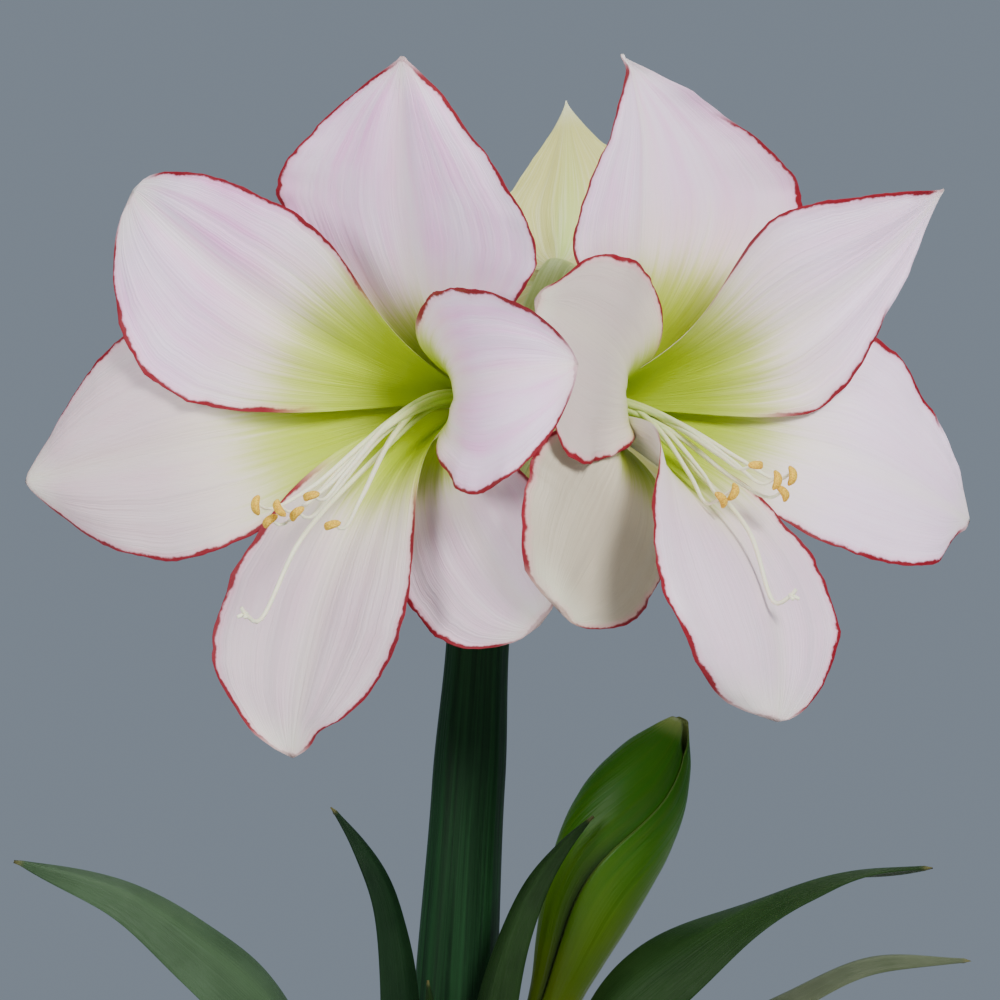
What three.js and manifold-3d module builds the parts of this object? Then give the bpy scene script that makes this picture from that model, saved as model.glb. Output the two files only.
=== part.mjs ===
// Potted picotee amaryllis: a bulb in a plain clay pot, a flower stalk with three open blooms,
// a second stalk with a closed bud, and six strap leaves.
// Millimetres, +Z up. The origin is the middle of the pot's underside, and -Y is the front.
import * as THREE from "three";
import { mergeVertices } from "three/addons/utils/BufferGeometryUtils.js";
import Module from "manifold-3d";

const wasm = await Module();
wasm.setup();

// Driving dimensions
const GAP = 0.3;
const POT_HEIGHT = 135;
const POT_RIM_DIAMETER = 160;
const POT_FOOT_DIAMETER = 105;
const POT_WALL = 7;
const POT_FLOOR = 8;
const RIM_HEIGHT = 27;
const RIM_STEP = 5;
const DRAIN_DIAMETER = 10;
const DRAIN_CIRCLE_RADIUS = 26;
const SOIL_TOP = 120;
const BULB_DIAMETER = 98;
const BULB_BOTTOM = 66;
const NOSE_TOP = 168;
const WELL_FLOOR = 157;
const TEPAL_THICKNESS = 0.8;
const VALVE_THICKNESS = 1.2;
const OUTER_TUBE_RADIUS = 5.2;
const INNER_TUBE_RADIUS = 3.4;
const UMBEL = [9.2, 0, 412];
const BUD_FOOT = [27.8, 2, 280];
const BUD_TIP = [62, -8, 367];

// Colours
const CLAY = 0xb5694a;
const EARTH = 0x2e221b;
const SKIN = 0x8a5a34;
const STALK_GREEN = 0x24452f;
const PEDICEL_GREEN = 0x7d9a4c;
const LEAF_GREEN = 0x2c5530;
const BUD_GREEN = 0x55801f;
const PETAL_WHITE = 0xf3ebef;
const CREAM = 0xe4e6bf;
const PAPER_BROWN = 0xb79b78;

const vec = (p) => new THREE.Vector3(p[0], p[1], p[2]);

// 0 below a, 1 above b, and a smooth step between them
function step(a, b, x) {
  return THREE.MathUtils.smoothstep(x, a, b);
}

// The smaller of two positive lengths, with a soft change from one to the other
function softMin(a, b) {
  return Math.pow(Math.pow(a, -5) + Math.pow(b, -5), -0.2);
}

// A closed body from a list of triangles, turned so that its faces point out
function closedBody(points, faces) {
  let volume = 0;
  for (const [a, b, c] of faces) {
    volume += points[a].dot(new THREE.Vector3().crossVectors(points[b], points[c]));
  }
  const index = [];
  for (const [a, b, c] of faces) {
    index.push(...(volume > 0 ? [a, b, c] : [a, c, b]));
  }
  const geometry = new THREE.BufferGeometry();
  geometry.setAttribute("position", new THREE.Float32BufferAttribute(points.flatMap((p) => p.toArray()), 3));
  geometry.setIndex(index);
  return geometry;
}

// A body through a row of rings with the same number of points, closed by a flat fan at both ends
function loft(rings) {
  const sides = rings[0].length;
  const points = rings.flat();
  const faces = [];
  for (let i = 0; i < rings.length - 1; i += 1) {
    for (let j = 0; j < sides; j += 1) {
      const k = (j + 1) % sides;
      const [a, b, c, d] = [i * sides + j, i * sides + k, (i + 1) * sides + j, (i + 1) * sides + k];
      faces.push([a, b, d], [a, d, c]);
    }
  }
  for (const [ring, low] of [[0, true], [rings.length - 1, false]]) {
    const middle = new THREE.Vector3();
    rings[ring].forEach((p) => middle.add(p));
    points.push(middle.divideScalar(sides));
    for (let j = 0; j < sides; j += 1) {
      const [a, b] = [ring * sides + j, ring * sides + ((j + 1) % sides)];
      faces.push(low ? [points.length - 1, b, a] : [points.length - 1, a, b]);
    }
  }
  return closedBody(points, faces);
}

// A thin blade between two grids of points, with both faces split into triangles alike
function blade(upper, lower) {
  const [rows, columns] = [upper.length, upper[0].length];
  const points = [...upper.flat(), ...lower.flat()];
  const count = rows * columns;
  const faces = [];
  for (let i = 0; i < rows - 1; i += 1) {
    for (let j = 0; j < columns - 1; j += 1) {
      const [a, c] = [i * columns + j, (i + 1) * columns + j];
      const [b, d] = [a + 1, c + 1];
      faces.push([a, b, d], [a, d, c]);
      faces.push([count + a, count + d, count + b], [count + a, count + c, count + d]);
    }
  }
  const rim = [];
  for (let j = 0; j < columns - 1; j += 1) rim.push(j);
  for (let i = 0; i < rows - 1; i += 1) rim.push(i * columns + columns - 1);
  for (let j = columns - 1; j > 0; j -= 1) rim.push((rows - 1) * columns + j);
  for (let i = rows - 1; i > 0; i -= 1) rim.push(i * columns);
  rim.forEach((a, n) => {
    const b = rim[(n + 1) % rim.length];
    faces.push([b, a, count + a], [b, count + a, count + b]);
  });
  return closedBody(points, faces);
}

// A round or oval ring of points about a centre, in the plane of two directions
function ring(centre, across, along, radiusAcross, radiusAlong, sides) {
  const points = [];
  for (let j = 0; j < sides; j += 1) {
    const turn = (2 * Math.PI * j) / sides;
    points.push(centre.clone()
      .addScaledVector(across, radiusAcross * Math.cos(turn))
      .addScaledVector(along, radiusAlong * Math.sin(turn)));
  }
  return points;
}

// A tapering tube along a smooth path. radius(s) is its radius, with s from 0 at the foot to 1 at the end.
function taperedTube(path, radius, sides, steps) {
  const curve = new THREE.CatmullRomCurve3(path.map(vec), false, "centripetal");
  const frames = curve.computeFrenetFrames(steps, false);
  const rings = [];
  for (let i = 0; i <= steps; i += 1) {
    const r = radius(i / steps);
    rings.push(ring(curve.getPointAt(i / steps), frames.normals[i], frames.binormals[i], r, r, sides));
  }
  return loft(rings);
}

// The same for a piece that stands upright: every ring stays level
function standingTube(path, radius, sides, steps) {
  const curve = new THREE.CatmullRomCurve3(path.map(vec), false, "centripetal");
  const [x, y] = [new THREE.Vector3(1, 0, 0), new THREE.Vector3(0, 1, 0)];
  const rings = [];
  for (let i = 0; i <= steps; i += 1) {
    const r = radius(i / steps);
    rings.push(ring(curve.getPointAt(i / steps), x, y, r, r, sides));
  }
  return loft(rings);
}

// A blade of a given thickness on both sides of a surface. surface(s, v) gives its points, with s from 0 to 1
// along it and v from -1 to 1 across it.
function thickened(surface, thickness, rows, columns) {
  const EPSILON = 1e-3;
  const grids = [[], []];
  for (let i = 0; i <= rows; i += 1) {
    grids.forEach((grid) => grid.push([]));
    for (let j = 0; j <= columns; j += 1) {
      const [s, v] = [i / rows, -1 + (2 * j) / columns];
      const ds = surface(Math.min(s + EPSILON, 1), v).sub(surface(Math.max(s - EPSILON, 0), v));
      const dv = surface(s, Math.min(v + EPSILON, 1)).sub(surface(s, Math.max(v - EPSILON, -1)));
      const normal = ds.cross(dv).normalize();
      const p = surface(s, v);
      const half = thickness(s, v) / 2;
      grids[0][i].push(p.clone().addScaledVector(normal, half));
      grids[1][i].push(p.clone().addScaledVector(normal, -half));
    }
  }
  return blade(grids[0], grids[1]);
}

function toSolid(geometry) {
  const plain = geometry.clone();
  plain.deleteAttribute("normal");
  plain.deleteAttribute("uv");
  const merged = mergeVertices(plain, 1e-4);
  return new wasm.Manifold(new wasm.Mesh({
    numProp: 3,
    vertProperties: Float32Array.from(merged.attributes.position.array),
    triVerts: Uint32Array.from(merged.index.array),
  }));
}

function toGeometry(solid) {
  const mesh = solid.getMesh();
  const geometry = new THREE.BufferGeometry();
  geometry.setAttribute("position", new THREE.BufferAttribute(mesh.vertProperties, 3));
  geometry.setIndex(new THREE.BufferAttribute(mesh.triVerts, 1));
  return geometry;
}

function joined(geometries) {
  return toGeometry(geometries.map(toSolid).reduce((whole, next) => whole.add(next)));
}

const plant = new THREE.Group();

function add(name, geometry, color, roughness) {
  const mesh = new THREE.Mesh(geometry, new THREE.MeshStandardMaterial({ color, roughness, metalness: 0 }));
  mesh.name = name;
  plant.add(mesh);
}

// Pot, soil and bulb

const POT_SIDES = 36;
const RIM_RADIUS = POT_RIM_DIAMETER / 2;
const MOUTH_RADIUS = RIM_RADIUS - POT_WALL;
const FLOOR_RADIUS = POT_FOOT_DIAMETER / 2 - POT_WALL + 0.5;

// Inner radius of the pot's wall at a height
function wallRadius(z) {
  return THREE.MathUtils.mapLinear(z, POT_FLOOR, POT_HEIGHT - 2, FLOOR_RADIUS, MOUTH_RADIUS);
}

// Turns a profile of [radius, height] points round the Z axis
function turned(profile, sides) {
  const geometry = new THREE.LatheGeometry(profile.map(([r, z]) => new THREE.Vector2(r, z)), sides);
  return geometry.rotateX(Math.PI / 2);
}

function pot() {
  const body = turned([
    [0, 0],
    [POT_FOOT_DIAMETER / 2 - 2, 0],
    [POT_FOOT_DIAMETER / 2, 2],
    [RIM_RADIUS - RIM_STEP, POT_HEIGHT - RIM_HEIGHT],
    [RIM_RADIUS - 1, POT_HEIGHT - RIM_HEIGHT],
    [RIM_RADIUS, POT_HEIGHT - RIM_HEIGHT + 2],
    [RIM_RADIUS, POT_HEIGHT - 2],
    [RIM_RADIUS - 2, POT_HEIGHT],
    [MOUTH_RADIUS + 2, POT_HEIGHT],
    [MOUTH_RADIUS, POT_HEIGHT - 2],
    [FLOOR_RADIUS, POT_FLOOR],
    [0, POT_FLOOR],
  ], POT_SIDES);
  let solid = toSolid(body);
  for (let i = 0; i < 3; i += 1) {
    const turn = (2 * Math.PI * i) / 3 + Math.PI / 2;
    const hole = new THREE.CylinderGeometry(DRAIN_DIAMETER / 2, DRAIN_DIAMETER / 2, 3 * POT_FLOOR, 16);
    hole.rotateX(Math.PI / 2);
    hole.translate(DRAIN_CIRCLE_RADIUS * Math.cos(turn), DRAIN_CIRCLE_RADIUS * Math.sin(turn), 0);
    solid = solid.subtract(toSolid(hole));
  }
  return toGeometry(solid);
}

const BULB_RADIUS = BULB_DIAMETER / 2;
const BULB_SIDES = 30;
// Bulb outline below the neck: [share of the bulb's radius, height]
const BULB_OUTLINE = [
  [0.3, BULB_BOTTOM], [0.46, 68], [0.78, 80], [0.95, 97], [1, 114], [0.98, 128],
  [0.89, 142], [0.75, 153], [0.62, 162],
];
// Neck and well: [radius along X, radius along Y, height]
const NECK_RINGS = [
  [28.2, 26, NOSE_TOP - 1.5], [27, 24.6, NOSE_TOP], [25.6, 21.6, NOSE_TOP - 0.5], [25.2, 21.2, WELL_FLOOR],
];

function bulb() {
  const rings = BULB_OUTLINE.map(([share, z]) => [share * BULB_RADIUS, share * BULB_RADIUS, z]);
  const [x, y] = [new THREE.Vector3(1, 0, 0), new THREE.Vector3(0, 1, 0)];
  return loft([...rings, ...NECK_RINGS].map(([rx, ry, z]) => ring(vec([0, 0, z]), x, y, rx, ry, BULB_SIDES)));
}

// Soil between the pot and the bulb, with a lumpy top and a plain hole in the bulb's own shape
function soil() {
  const hole = BULB_OUTLINE.filter(([, z]) => z < SOIL_TOP - 4);
  const bulbAtTop = BULB_RADIUS * 0.995;
  const profile = [
    [0, POT_FLOOR + GAP],
    [wallRadius(POT_FLOOR) - 2 * GAP, POT_FLOOR + GAP],
    [wallRadius(SOIL_TOP) - 4 * GAP, SOIL_TOP],
    [wallRadius(SOIL_TOP) - 5, SOIL_TOP],
    [(wallRadius(SOIL_TOP) + BULB_RADIUS) / 2, SOIL_TOP],
    [bulbAtTop + 4, SOIL_TOP],
    [bulbAtTop + 2 * GAP, SOIL_TOP - 1],
    ...hole.reverse().map(([share, z]) => [share * BULB_RADIUS + 2 * GAP, z - GAP]),
    [0, BULB_BOTTOM - GAP],
  ];
  const geometry = turned(profile, POT_SIDES);
  const p = geometry.attributes.position;
  for (let i = 0; i < p.count; i += 1) {
    if (p.getZ(i) < SOIL_TOP - 0.01) continue;
    const [x, y] = [p.getX(i), p.getY(i)];
    const [broad, fine] = [Math.sin(0.31 * x + 1) * Math.cos(0.27 * y), Math.sin(0.6 * x - 0.7 * y)];
    p.setZ(i, SOIL_TOP + 1.3 * broad + 0.7 * fine);
  }
  return geometry;
}

add("pot", pot(), CLAY, 0.85);
add("soil", soil(), EARTH, 0.95);
add("bulb", bulb(), SKIN, 0.8);

// Flower stalk, its bracts and the second stalk with its bud

const SCAPE_FOOT = [-6.6, 8.7, WELL_FLOOR + GAP];
// Radius of the scape: [share of its height, radius]
const SCAPE_RADII = [[0, 10.3], [0.25, 11.8], [0.5, 11.4], [0.75, 10], [0.9, 8.6], [0.96, 8.2], [1, 8.8]];

// Value at s in a list of [s, value] pairs, with a smooth change between them
function along(list, s) {
  const n = list.findIndex(([at]) => at >= s);
  if (n <= 0) return list[Math.max(n, 0)][1];
  const [[s0, v0], [s1, v1]] = [list[n - 1], list[n]];
  return v0 + (v1 - v0) * step(s0, s1, s);
}

const SCAPE_PATH = [SCAPE_FOOT, [1.2, 5, 289], [5.2, 2.2, 352], UMBEL];
add("scape", standingTube(SCAPE_PATH, (s) => along(SCAPE_RADII, s), 16, 12), STALK_GREEN, 0.5);

const PEDICEL_RADII = [[0, 3.2], [0.35, 3.2], [0.58, 4.4], [0.75, 6.2], [0.9, 6], [1, 6.6]];
const STEM_FOOT = UMBEL[2] + GAP;

// The blooms. base is where the six tepals meet, azimuth turns the bloom from -Y towards +X,
// and elevation lifts its face.
const BLOOMS = {
  left: {
    base: [4.2, -22, 451], azimuth: -38, elevation: 0,
    stem: [[4.8, -3.4, STEM_FOOT], [4.8, -3.4, 415], [7, -4.6, 426], [9.2, -8, 439], [8.6, -15, 448]],
  },
  right: {
    base: [37.4, -22, 449.7], azimuth: 50, elevation: 0,
    stem: [[13.6, -3.4, STEM_FOOT], [13.6, -3.4, 415], [16, -4.6, 426], [20, -7.6, 440],
      [28.2, -14.4, 448.6]],
  },
  back: {
    base: [30, 25, 484], azimuth: 172, elevation: -12,
    stem: [[9.2, 4.4, STEM_FOOT], [9.2, 4.4, 415], [12, 5, 432], [18, 6, 456], [25.6, 9.4, 477],
      [29, 17, 484.6]],
  },
};

for (const [name, bloom] of Object.entries(BLOOMS)) {
  const [a, e] = [THREE.MathUtils.degToRad(bloom.azimuth), THREE.MathUtils.degToRad(bloom.elevation)];
  bloom.axis = new THREE.Vector3(Math.sin(a) * Math.cos(e), -Math.cos(a) * Math.cos(e), Math.sin(e));
  bloom.right = new THREE.Vector3(Math.cos(a), Math.sin(a), 0);
  bloom.up = new THREE.Vector3().crossVectors(bloom.axis, bloom.right);
  const end = vec(bloom.base).addScaledVector(bloom.axis, -0.5);
  const last = end.clone().addScaledVector(bloom.axis, -2);
  const path = [...bloom.stem, last.toArray(), end.toArray()];
  add(`pedicel_${name}`, taperedTube(path, (s) => along(PEDICEL_RADII, s), 12, 13), PEDICEL_GREEN, 0.5);
}

// Tepals. Each is a curved blade on a midrib, which is a curve in the plane of the bloom's axis.
// angle      where it stands round the bloom, anticlockwise from the bloom's right seen from the front
// reach      how far its tip is from the axis, and forward how far it is in front of the base
// leaves     angle between midrib and axis at the base, and arrives the same at the tip
// early,late how long the midrib keeps each of those directions, as a share of the chord
// width      full width, with share the parts of it on the clockwise and anticlockwise halves
// claw       power that keeps the base slender
// widest     place of the full width, as a share of the length
// shoulder   power that keeps the end broad, and point power that makes the tip sharp
// lift       how far the edges bend forwards
//            (claw, widest, shoulder, point and lift are pairs too, for the same two halves)
// hook       how far the tip bends anticlockwise
// funnel     most that half the width can be near the base, as a share of the distance from the axis
const TEPALS = {
  left: {
    outer_top: {
      angle: 80, reach: 88, forward: 45, leaves: 24, arrives: 84, early: 0.3, width: 88, share: [1.4, 1.14],
      claw: [1, 1.25], widest: [0.4, 0.5], shoulder: [1.1, 1.35], point: [0.95, 1], lift: [-3, 0],
    },
    inner_right: {
      angle: 7, reach: 63, forward: 33, leaves: 16, arrives: 122, early: 0.4, late: 0.5, width: 56,
      share: [1.25, 0.8], claw: [0.9, 1.25], widest: [0.52, 0.6], lift: [4, 5], funnel: 1,
    },
    outer_low_right: {
      angle: -50, reach: 76, forward: 31, leaves: 16, arrives: 105, early: 0.4, width: 52,
      share: [1.06, 0.8], widest: [0.65, 0.65], point: [0.55, 0.55], lift: [0, -4],
    },
    inner_bottom: {
      angle: 259, reach: 95, forward: 49, leaves: 14, arrives: 90, width: 64, share: [0.92, 0.95],
      widest: [0.72, 0.64], shoulder: [2.2, 1.7], point: [0.7, 0.9], lift: [3, 0], funnel: 0.83,
    },
    outer_low_left: {
      angle: 192, reach: 104, forward: 62, leaves: 22, arrives: 86, early: 0.35, width: 68,
      share: [1.16, 0.9], widest: [0.5, 0.6], shoulder: [1.7, 1.9], point: [0.8, 0.8], lift: [-6, -5],
    },
    inner_top_left: {
      angle: 140, reach: 86, forward: 58, leaves: 16, arrives: 88, width: 64, share: [0.93, 1.25],
      claw: [0.8, 1.1], widest: [0.45, 0.5], shoulder: [1.6, 1.8], point: [0.55, 0.5],
    },
  },
  right: {
    outer_top: {
      angle: 97, reach: 93, forward: 26, leaves: 24, arrives: 90, early: 0.3, width: 76, share: [1.9, 1],
      claw: [0.9, 1.25], widest: [0.44, 0.5], shoulder: [1.35, 1.6], point: [1.3, 1.5], lift: [7, 0], hook: 5,
    },
    inner_top_right: {
      angle: 40, reach: 90, forward: 66, leaves: 14, arrives: 90, width: 62, share: [0.95, 1.15],
      claw: [1, 1.1], widest: [0.42, 0.47], shoulder: [1.1, 1.5], point: [1.4, 1],
    },
    outer_low_right: {
      angle: -20, reach: 91, forward: 63, leaves: 20, arrives: 95, width: 62, share: [0.78, 1.42],
      widest: [0.6, 0.46], shoulder: [2.2, 1.2], point: [0.6, 0.9],
    },
    inner_bottom: {
      angle: -100, reach: 82.4, forward: 72, leaves: 25, arrives: 95, width: 66, share: [1.5, 0.8],
      widest: [0.5, 0.6], point: [0.62, 0.6], lift: [-8, 0],
    },
    outer_low_left: {
      angle: -135, reach: 76, forward: 34, leaves: 20, arrives: 95, width: 60, share: [1.1, 0.56],
      claw: [1.8, 1.25], widest: [0.62, 0.6], point: [0.6, 0.6], lift: [-8, 0],
    },
    inner_top_left: {
      angle: 152, reach: 55, forward: 21, leaves: 6, arrives: 122, early: 0.5, late: 0.5, width: 50,
      share: [0.75, 1.6], claw: [1.25, 1.6], widest: [0.6, 0.6], lift: [0, 4],
    },
  },
  back: {
    outer_top: {
      angle: 84, reach: 72, forward: 60, leaves: 22, arrives: 78, width: 58, share: [0.8, 1],
      shoulder: [1.5, 1.5], point: [1.15, 1.15],
    },
    inner_top_left: { angle: 30, reach: 62, forward: 66, leaves: 14, arrives: 90, width: 54 },
    outer_low_left: { angle: -30, reach: 74, forward: 56, leaves: 22, arrives: 95, width: 62 },
    inner_bottom: { angle: -90, reach: 72, forward: 60, leaves: 15, arrives: 90, width: 52 },
    outer_low_right: { angle: -150, reach: 74, forward: 56, leaves: 22, arrives: 95, width: 62 },
    inner_top_right: { angle: 150, reach: 60, forward: 66, leaves: 14, arrives: 90, width: 54 },
  },
};
const COMMON = {
  early: 0.45, late: 0.35, share: [1, 1], claw: [1.25, 1.25], widest: [0.58, 0.58], shoulder: [2.2, 2.2],
  point: [0.7, 0.7], lift: [0, 0], hook: 0, funnel: 0.93,
};
const CLAW_SHARE = 0.1;
const TIP_SHARE = 0.03;
const KEEL_DEPTH = 1.2;
const LIMB_CURVATURE = 0.004;
const TEPAL_ROWS = 10;
const TEPAL_COLUMNS = 6;

// Direction at an angle from a bloom's right, anticlockwise seen from its front
function radial(bloom, turn) {
  return bloom.right.clone().multiplyScalar(Math.cos(turn)).addScaledVector(bloom.up, Math.sin(turn));
}

// Half of a tepal's width at s, on its clockwise side (0) or anticlockwise side (1)
function halfWidth(t, s, side, radius) {
  const widest = t.widest[side];
  const swelling = Math.sin((Math.PI / 2) * Math.min(s / widest, 1)) ** t.claw[side];
  const low = CLAW_SHARE + (1 - CLAW_SHARE) * swelling;
  const beyond = Math.max((s - widest) / (1 - widest), 0);
  const high = Math.max((1 - beyond ** t.shoulder[side]) ** t.point[side], TIP_SHARE);
  const profile = beyond > 0 ? high : low;
  return softMin((profile * t.width * t.share[side]) / 2, t.funnel * radius);
}

// The tepal's middle surface as a function of s, from base to tip, and v, from -1 to 1 across it
function tepalSurface(bloom, t, tubeRadius) {
  const turn = THREE.MathUtils.degToRad(t.angle);
  const outwards = radial(bloom, turn);
  const sideways = radial(bloom, turn + Math.PI / 2);
  const [leaves, arrives] = [THREE.MathUtils.degToRad(t.leaves), THREE.MathUtils.degToRad(t.arrives)];
  const foot = new THREE.Vector2(tubeRadius, 0);
  const tip = new THREE.Vector2(t.reach, t.forward);
  const chord = foot.distanceTo(tip);
  const midrib = new THREE.CubicBezierCurve(
    foot,
    new THREE.Vector2(Math.sin(leaves), Math.cos(leaves)).multiplyScalar(t.early * chord).add(foot),
    new THREE.Vector2(Math.sin(arrives), Math.cos(arrives)).multiplyScalar(-t.late * chord).add(tip),
    tip,
  );
  return (s, v) => {
    const p = midrib.getPointAt(s);
    const q = midrib.getTangentAt(s);
    const inwards = outwards.clone().multiplyScalar(-q.y).addScaledVector(bloom.axis, q.x);
    const side = v > 0 ? 1 : 0;
    const d = v * halfWidth(t, s, side, p.x);
    const flat = step(0.25, 0.75, s);
    const curvature = (1 - flat) * (Math.max(q.y, 0.05) / p.x) + flat * LIMB_CURVATURE;
    const keel = KEEL_DEPTH * (1 - Math.exp(-((d / 5) ** 2))) * step(0.1, 0.4, s) * (1 - step(0.85, 1, s));
    const lift = t.lift[side] * Math.abs(v) ** 2.5 * step(0.3, 0.75, s);
    const hook = t.hook * step(0.6, 1, s) ** 2;
    return vec(bloom.base)
      .addScaledVector(outwards, p.x)
      .addScaledVector(bloom.axis, p.y)
      .addScaledVector(sideways, Math.sin(d * curvature) / curvature + hook)
      .addScaledVector(inwards, (1 - Math.cos(d * curvature)) / curvature + keel + lift);
  };
}

for (const [name, tepals] of Object.entries(TEPALS)) {
  for (const [place, own] of Object.entries(tepals)) {
    const tube = place.startsWith("outer") ? OUTER_TUBE_RADIUS : INNER_TUBE_RADIUS;
    const surface = tepalSurface(BLOOMS[name], { ...COMMON, ...own }, tube);
    const petal = thickened(surface, () => TEPAL_THICKNESS, TEPAL_ROWS, TEPAL_COLUMNS);
    add(`tepal_${name}_${place}`, petal, PETAL_WHITE, 0.5);
  }
}

// Stamens and pistils. Places are given in the bloom's own frame: [to its right, up, forward].
const ANTHERS = {
  left: [[-2.1, -27.8, 82], [3.7, -28.5, 80], [-0.4, -31.8, 79], [8.8, -25.5, 74], [14, -32.8, 72],
    [5, -30, 75]],
  right: [[-8.8, -16.3, 62], [-10.6, -23.1, 56], [-14.3, -25.2, 55], [-3, -20.1, 64], [0.8, -19, 66],
    [0, -23.6, 64]],
  back: [[-8, -12, 60], [-4, -17, 66], [1, -21, 61], [5, -16, 67], [9, -11, 61], [1, -10, 55]],
};
const STIGMAS = { left: [-7.2, -56.2, 80], right: [-13.6, -50.3, 76], back: [-2, -36, 76] };
const FILAMENT_RADIUS = 0.75;
const STYLE_RADIUS = 0.65;
const ANTHER_LENGTH = 5.5;
const ANTHER_RADIUS = 1.35;
const RECEPTACLE_RADIUS = 2.5;
const RECEPTACLE_HEIGHT = 1.4;
const RING_RADIUS = 1.7;

// Point of a bloom's own frame in the plant's frame
function place(bloom, [right, up, forward]) {
  return vec(bloom.base)
    .addScaledVector(bloom.right, right)
    .addScaledVector(bloom.up, up)
    .addScaledVector(bloom.axis, forward);
}

// Route that leaves the tube straight, sinks, and turns up at its end. It starts at height in the tube, and
// has sunk by the two shares at 0.45 and at 0.77 of its way forward.
function declining(bloom, [x, y, height], [right, up, forward], [first, second]) {
  return [
    [x, y, height],
    [x, y - 0.4, 0.16 * forward],
    [x + first * right, y + first * up, 0.45 * forward],
    [x + second * right, y + second * up, 0.77 * forward],
    [right, up - 1, forward - 5],
    [right, up + 1, forward],
  ].map((p) => place(bloom, p).toArray());
}

function anther(bloom, centre, lean) {
  const rings = [];
  const lengthwise = radial(bloom, lean);
  const across = radial(bloom, lean + Math.PI / 2);
  for (const [share, fat] of [[-1, 0.35], [-0.6, 0.9], [0, 1], [0.6, 0.9], [1, 0.35]]) {
    const middle = centre.clone()
      .addScaledVector(lengthwise, (share * ANTHER_LENGTH) / 2)
      .addScaledVector(bloom.axis, -1.2 * share * share);
    rings.push(ring(middle, across, bloom.axis, fat * ANTHER_RADIUS, fat * ANTHER_RADIUS, 5));
  }
  return loft(rings);
}

function stamens(bloom, anthers) {
  const disc = [0, RECEPTACLE_HEIGHT].map((forward) => ring(
    place(bloom, [0, 0, forward - 0.2]), bloom.right, bloom.up, RECEPTACLE_RADIUS, RECEPTACLE_RADIUS, 8));
  const pieces = [loft(disc)];
  anthers.forEach((tip, i) => {
    const turn = THREE.MathUtils.degToRad(-15 + 42 * i);
    const root = [RING_RADIUS * Math.cos(turn), RING_RADIUS * Math.sin(turn), 0.6];
    const route = declining(bloom, root, tip, [0.3, 0.83]);
    pieces.push(taperedTube(route, (s) => FILAMENT_RADIUS * (1 - 0.3 * s), 4, 6));
    pieces.push(anther(bloom, place(bloom, tip), 0.6 + 1.1 * i));
  });
  return joined(pieces);
}

function pistil(bloom, tip) {
  const route = declining(bloom, [0, -RING_RADIUS, RECEPTACLE_HEIGHT - 0.2 + GAP], tip, [0.26, 0.62]);
  const pieces = [taperedTube(route, () => STYLE_RADIUS, 5, 10)];
  for (let i = 0; i < 3; i += 1) {
    const turn = (2 * Math.PI * i) / 3 + Math.PI / 2;
    const lobe = [tip[0] + 1.6 * Math.cos(turn), tip[1] + 1 + 1.6 * Math.sin(turn), tip[2] + 1.4];
    const start = [tip[0], tip[1] + 1, tip[2] - 0.6];
    pieces.push(taperedTube([start, lobe].map((p) => place(bloom, p).toArray()), () => 0.55, 4, 1));
  }
  return joined(pieces);
}

for (const [name, bloom] of Object.entries(BLOOMS)) {
  add(`stamens_${name}`, stamens(bloom, ANTHERS[name]), CREAM, 0.6);
  add(`pistil_${name}`, pistil(bloom, STIGMAS[name]), CREAM, 0.6);
}

// Bud: two sheaths, each with one free edge over the other, round the closed flowers
// The radii stand at even steps from the foot to the tip.
const BUD_RADII = [6.2, 6.8, 9.4, 11.9, 13.1, 13.6, 12.7, 9.3, 3.2];
const BUD_FLATNESS = 0.8;
const SHEATH_ARC = 215;
const TUCK = VALVE_THICKNESS + 6 * GAP;
const budAxis = vec(BUD_TIP).sub(vec(BUD_FOOT));
const BUD_LENGTH = budAxis.length();
budAxis.normalize();
const budSide = new THREE.Vector3().crossVectors(budAxis, new THREE.Vector3(0, 1, 0)).normalize();
const budFront = new THREE.Vector3().crossVectors(budSide, budAxis).normalize();

const budProfile = new THREE.SplineCurve(BUD_RADII.map((radius, i) => new THREE.Vector2(i, radius)));

// Angle of the right sheath's free edge, from the front towards the right: [share of the length, degrees]
const FREE_EDGE = [[0, -38], [0.26, -42], [0.45, -33], [0.55, -19], [0.66, 2], [0.8, 14], [1, 10]];

// Surface of a sheath; turn is 0 for the right one and 180 for the left one
function sheathSurface(turn) {
  return (s, v) => {
    const u = (v + 1) / 2;
    const share = s * (1 - 0.09 * (1 - Math.sin(Math.PI * u)) ** 2 - 0.08 * step(0.6, 1, u));
    const tucked = step(0.7, 0.83, u);
    const angle = THREE.MathUtils.degToRad(along(FREE_EDGE, share) + turn + SHEATH_ARC * u);
    const radius = budProfile.getPoint(share).y - TUCK * tucked;
    return vec(BUD_FOOT)
      .addScaledVector(budAxis, share * BUD_LENGTH)
      .addScaledVector(budSide, radius * Math.sin(angle))
      .addScaledVector(budFront, BUD_FLATNESS * radius * Math.cos(angle));
  };
}

function budFlowers() {
  const rings = [];
  for (let i = 0; i <= 8; i += 1) {
    const s = 0.03 + (0.9 * i) / 8;
    const radius = Math.max(budProfile.getPoint(s).y - TUCK - 1.15 * VALVE_THICKNESS, 1);
    const centre = vec(BUD_FOOT).addScaledVector(budAxis, s * BUD_LENGTH);
    rings.push(ring(centre, budSide, budFront, radius, BUD_FLATNESS * radius, 10));
  }
  return loft(rings);
}

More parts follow.
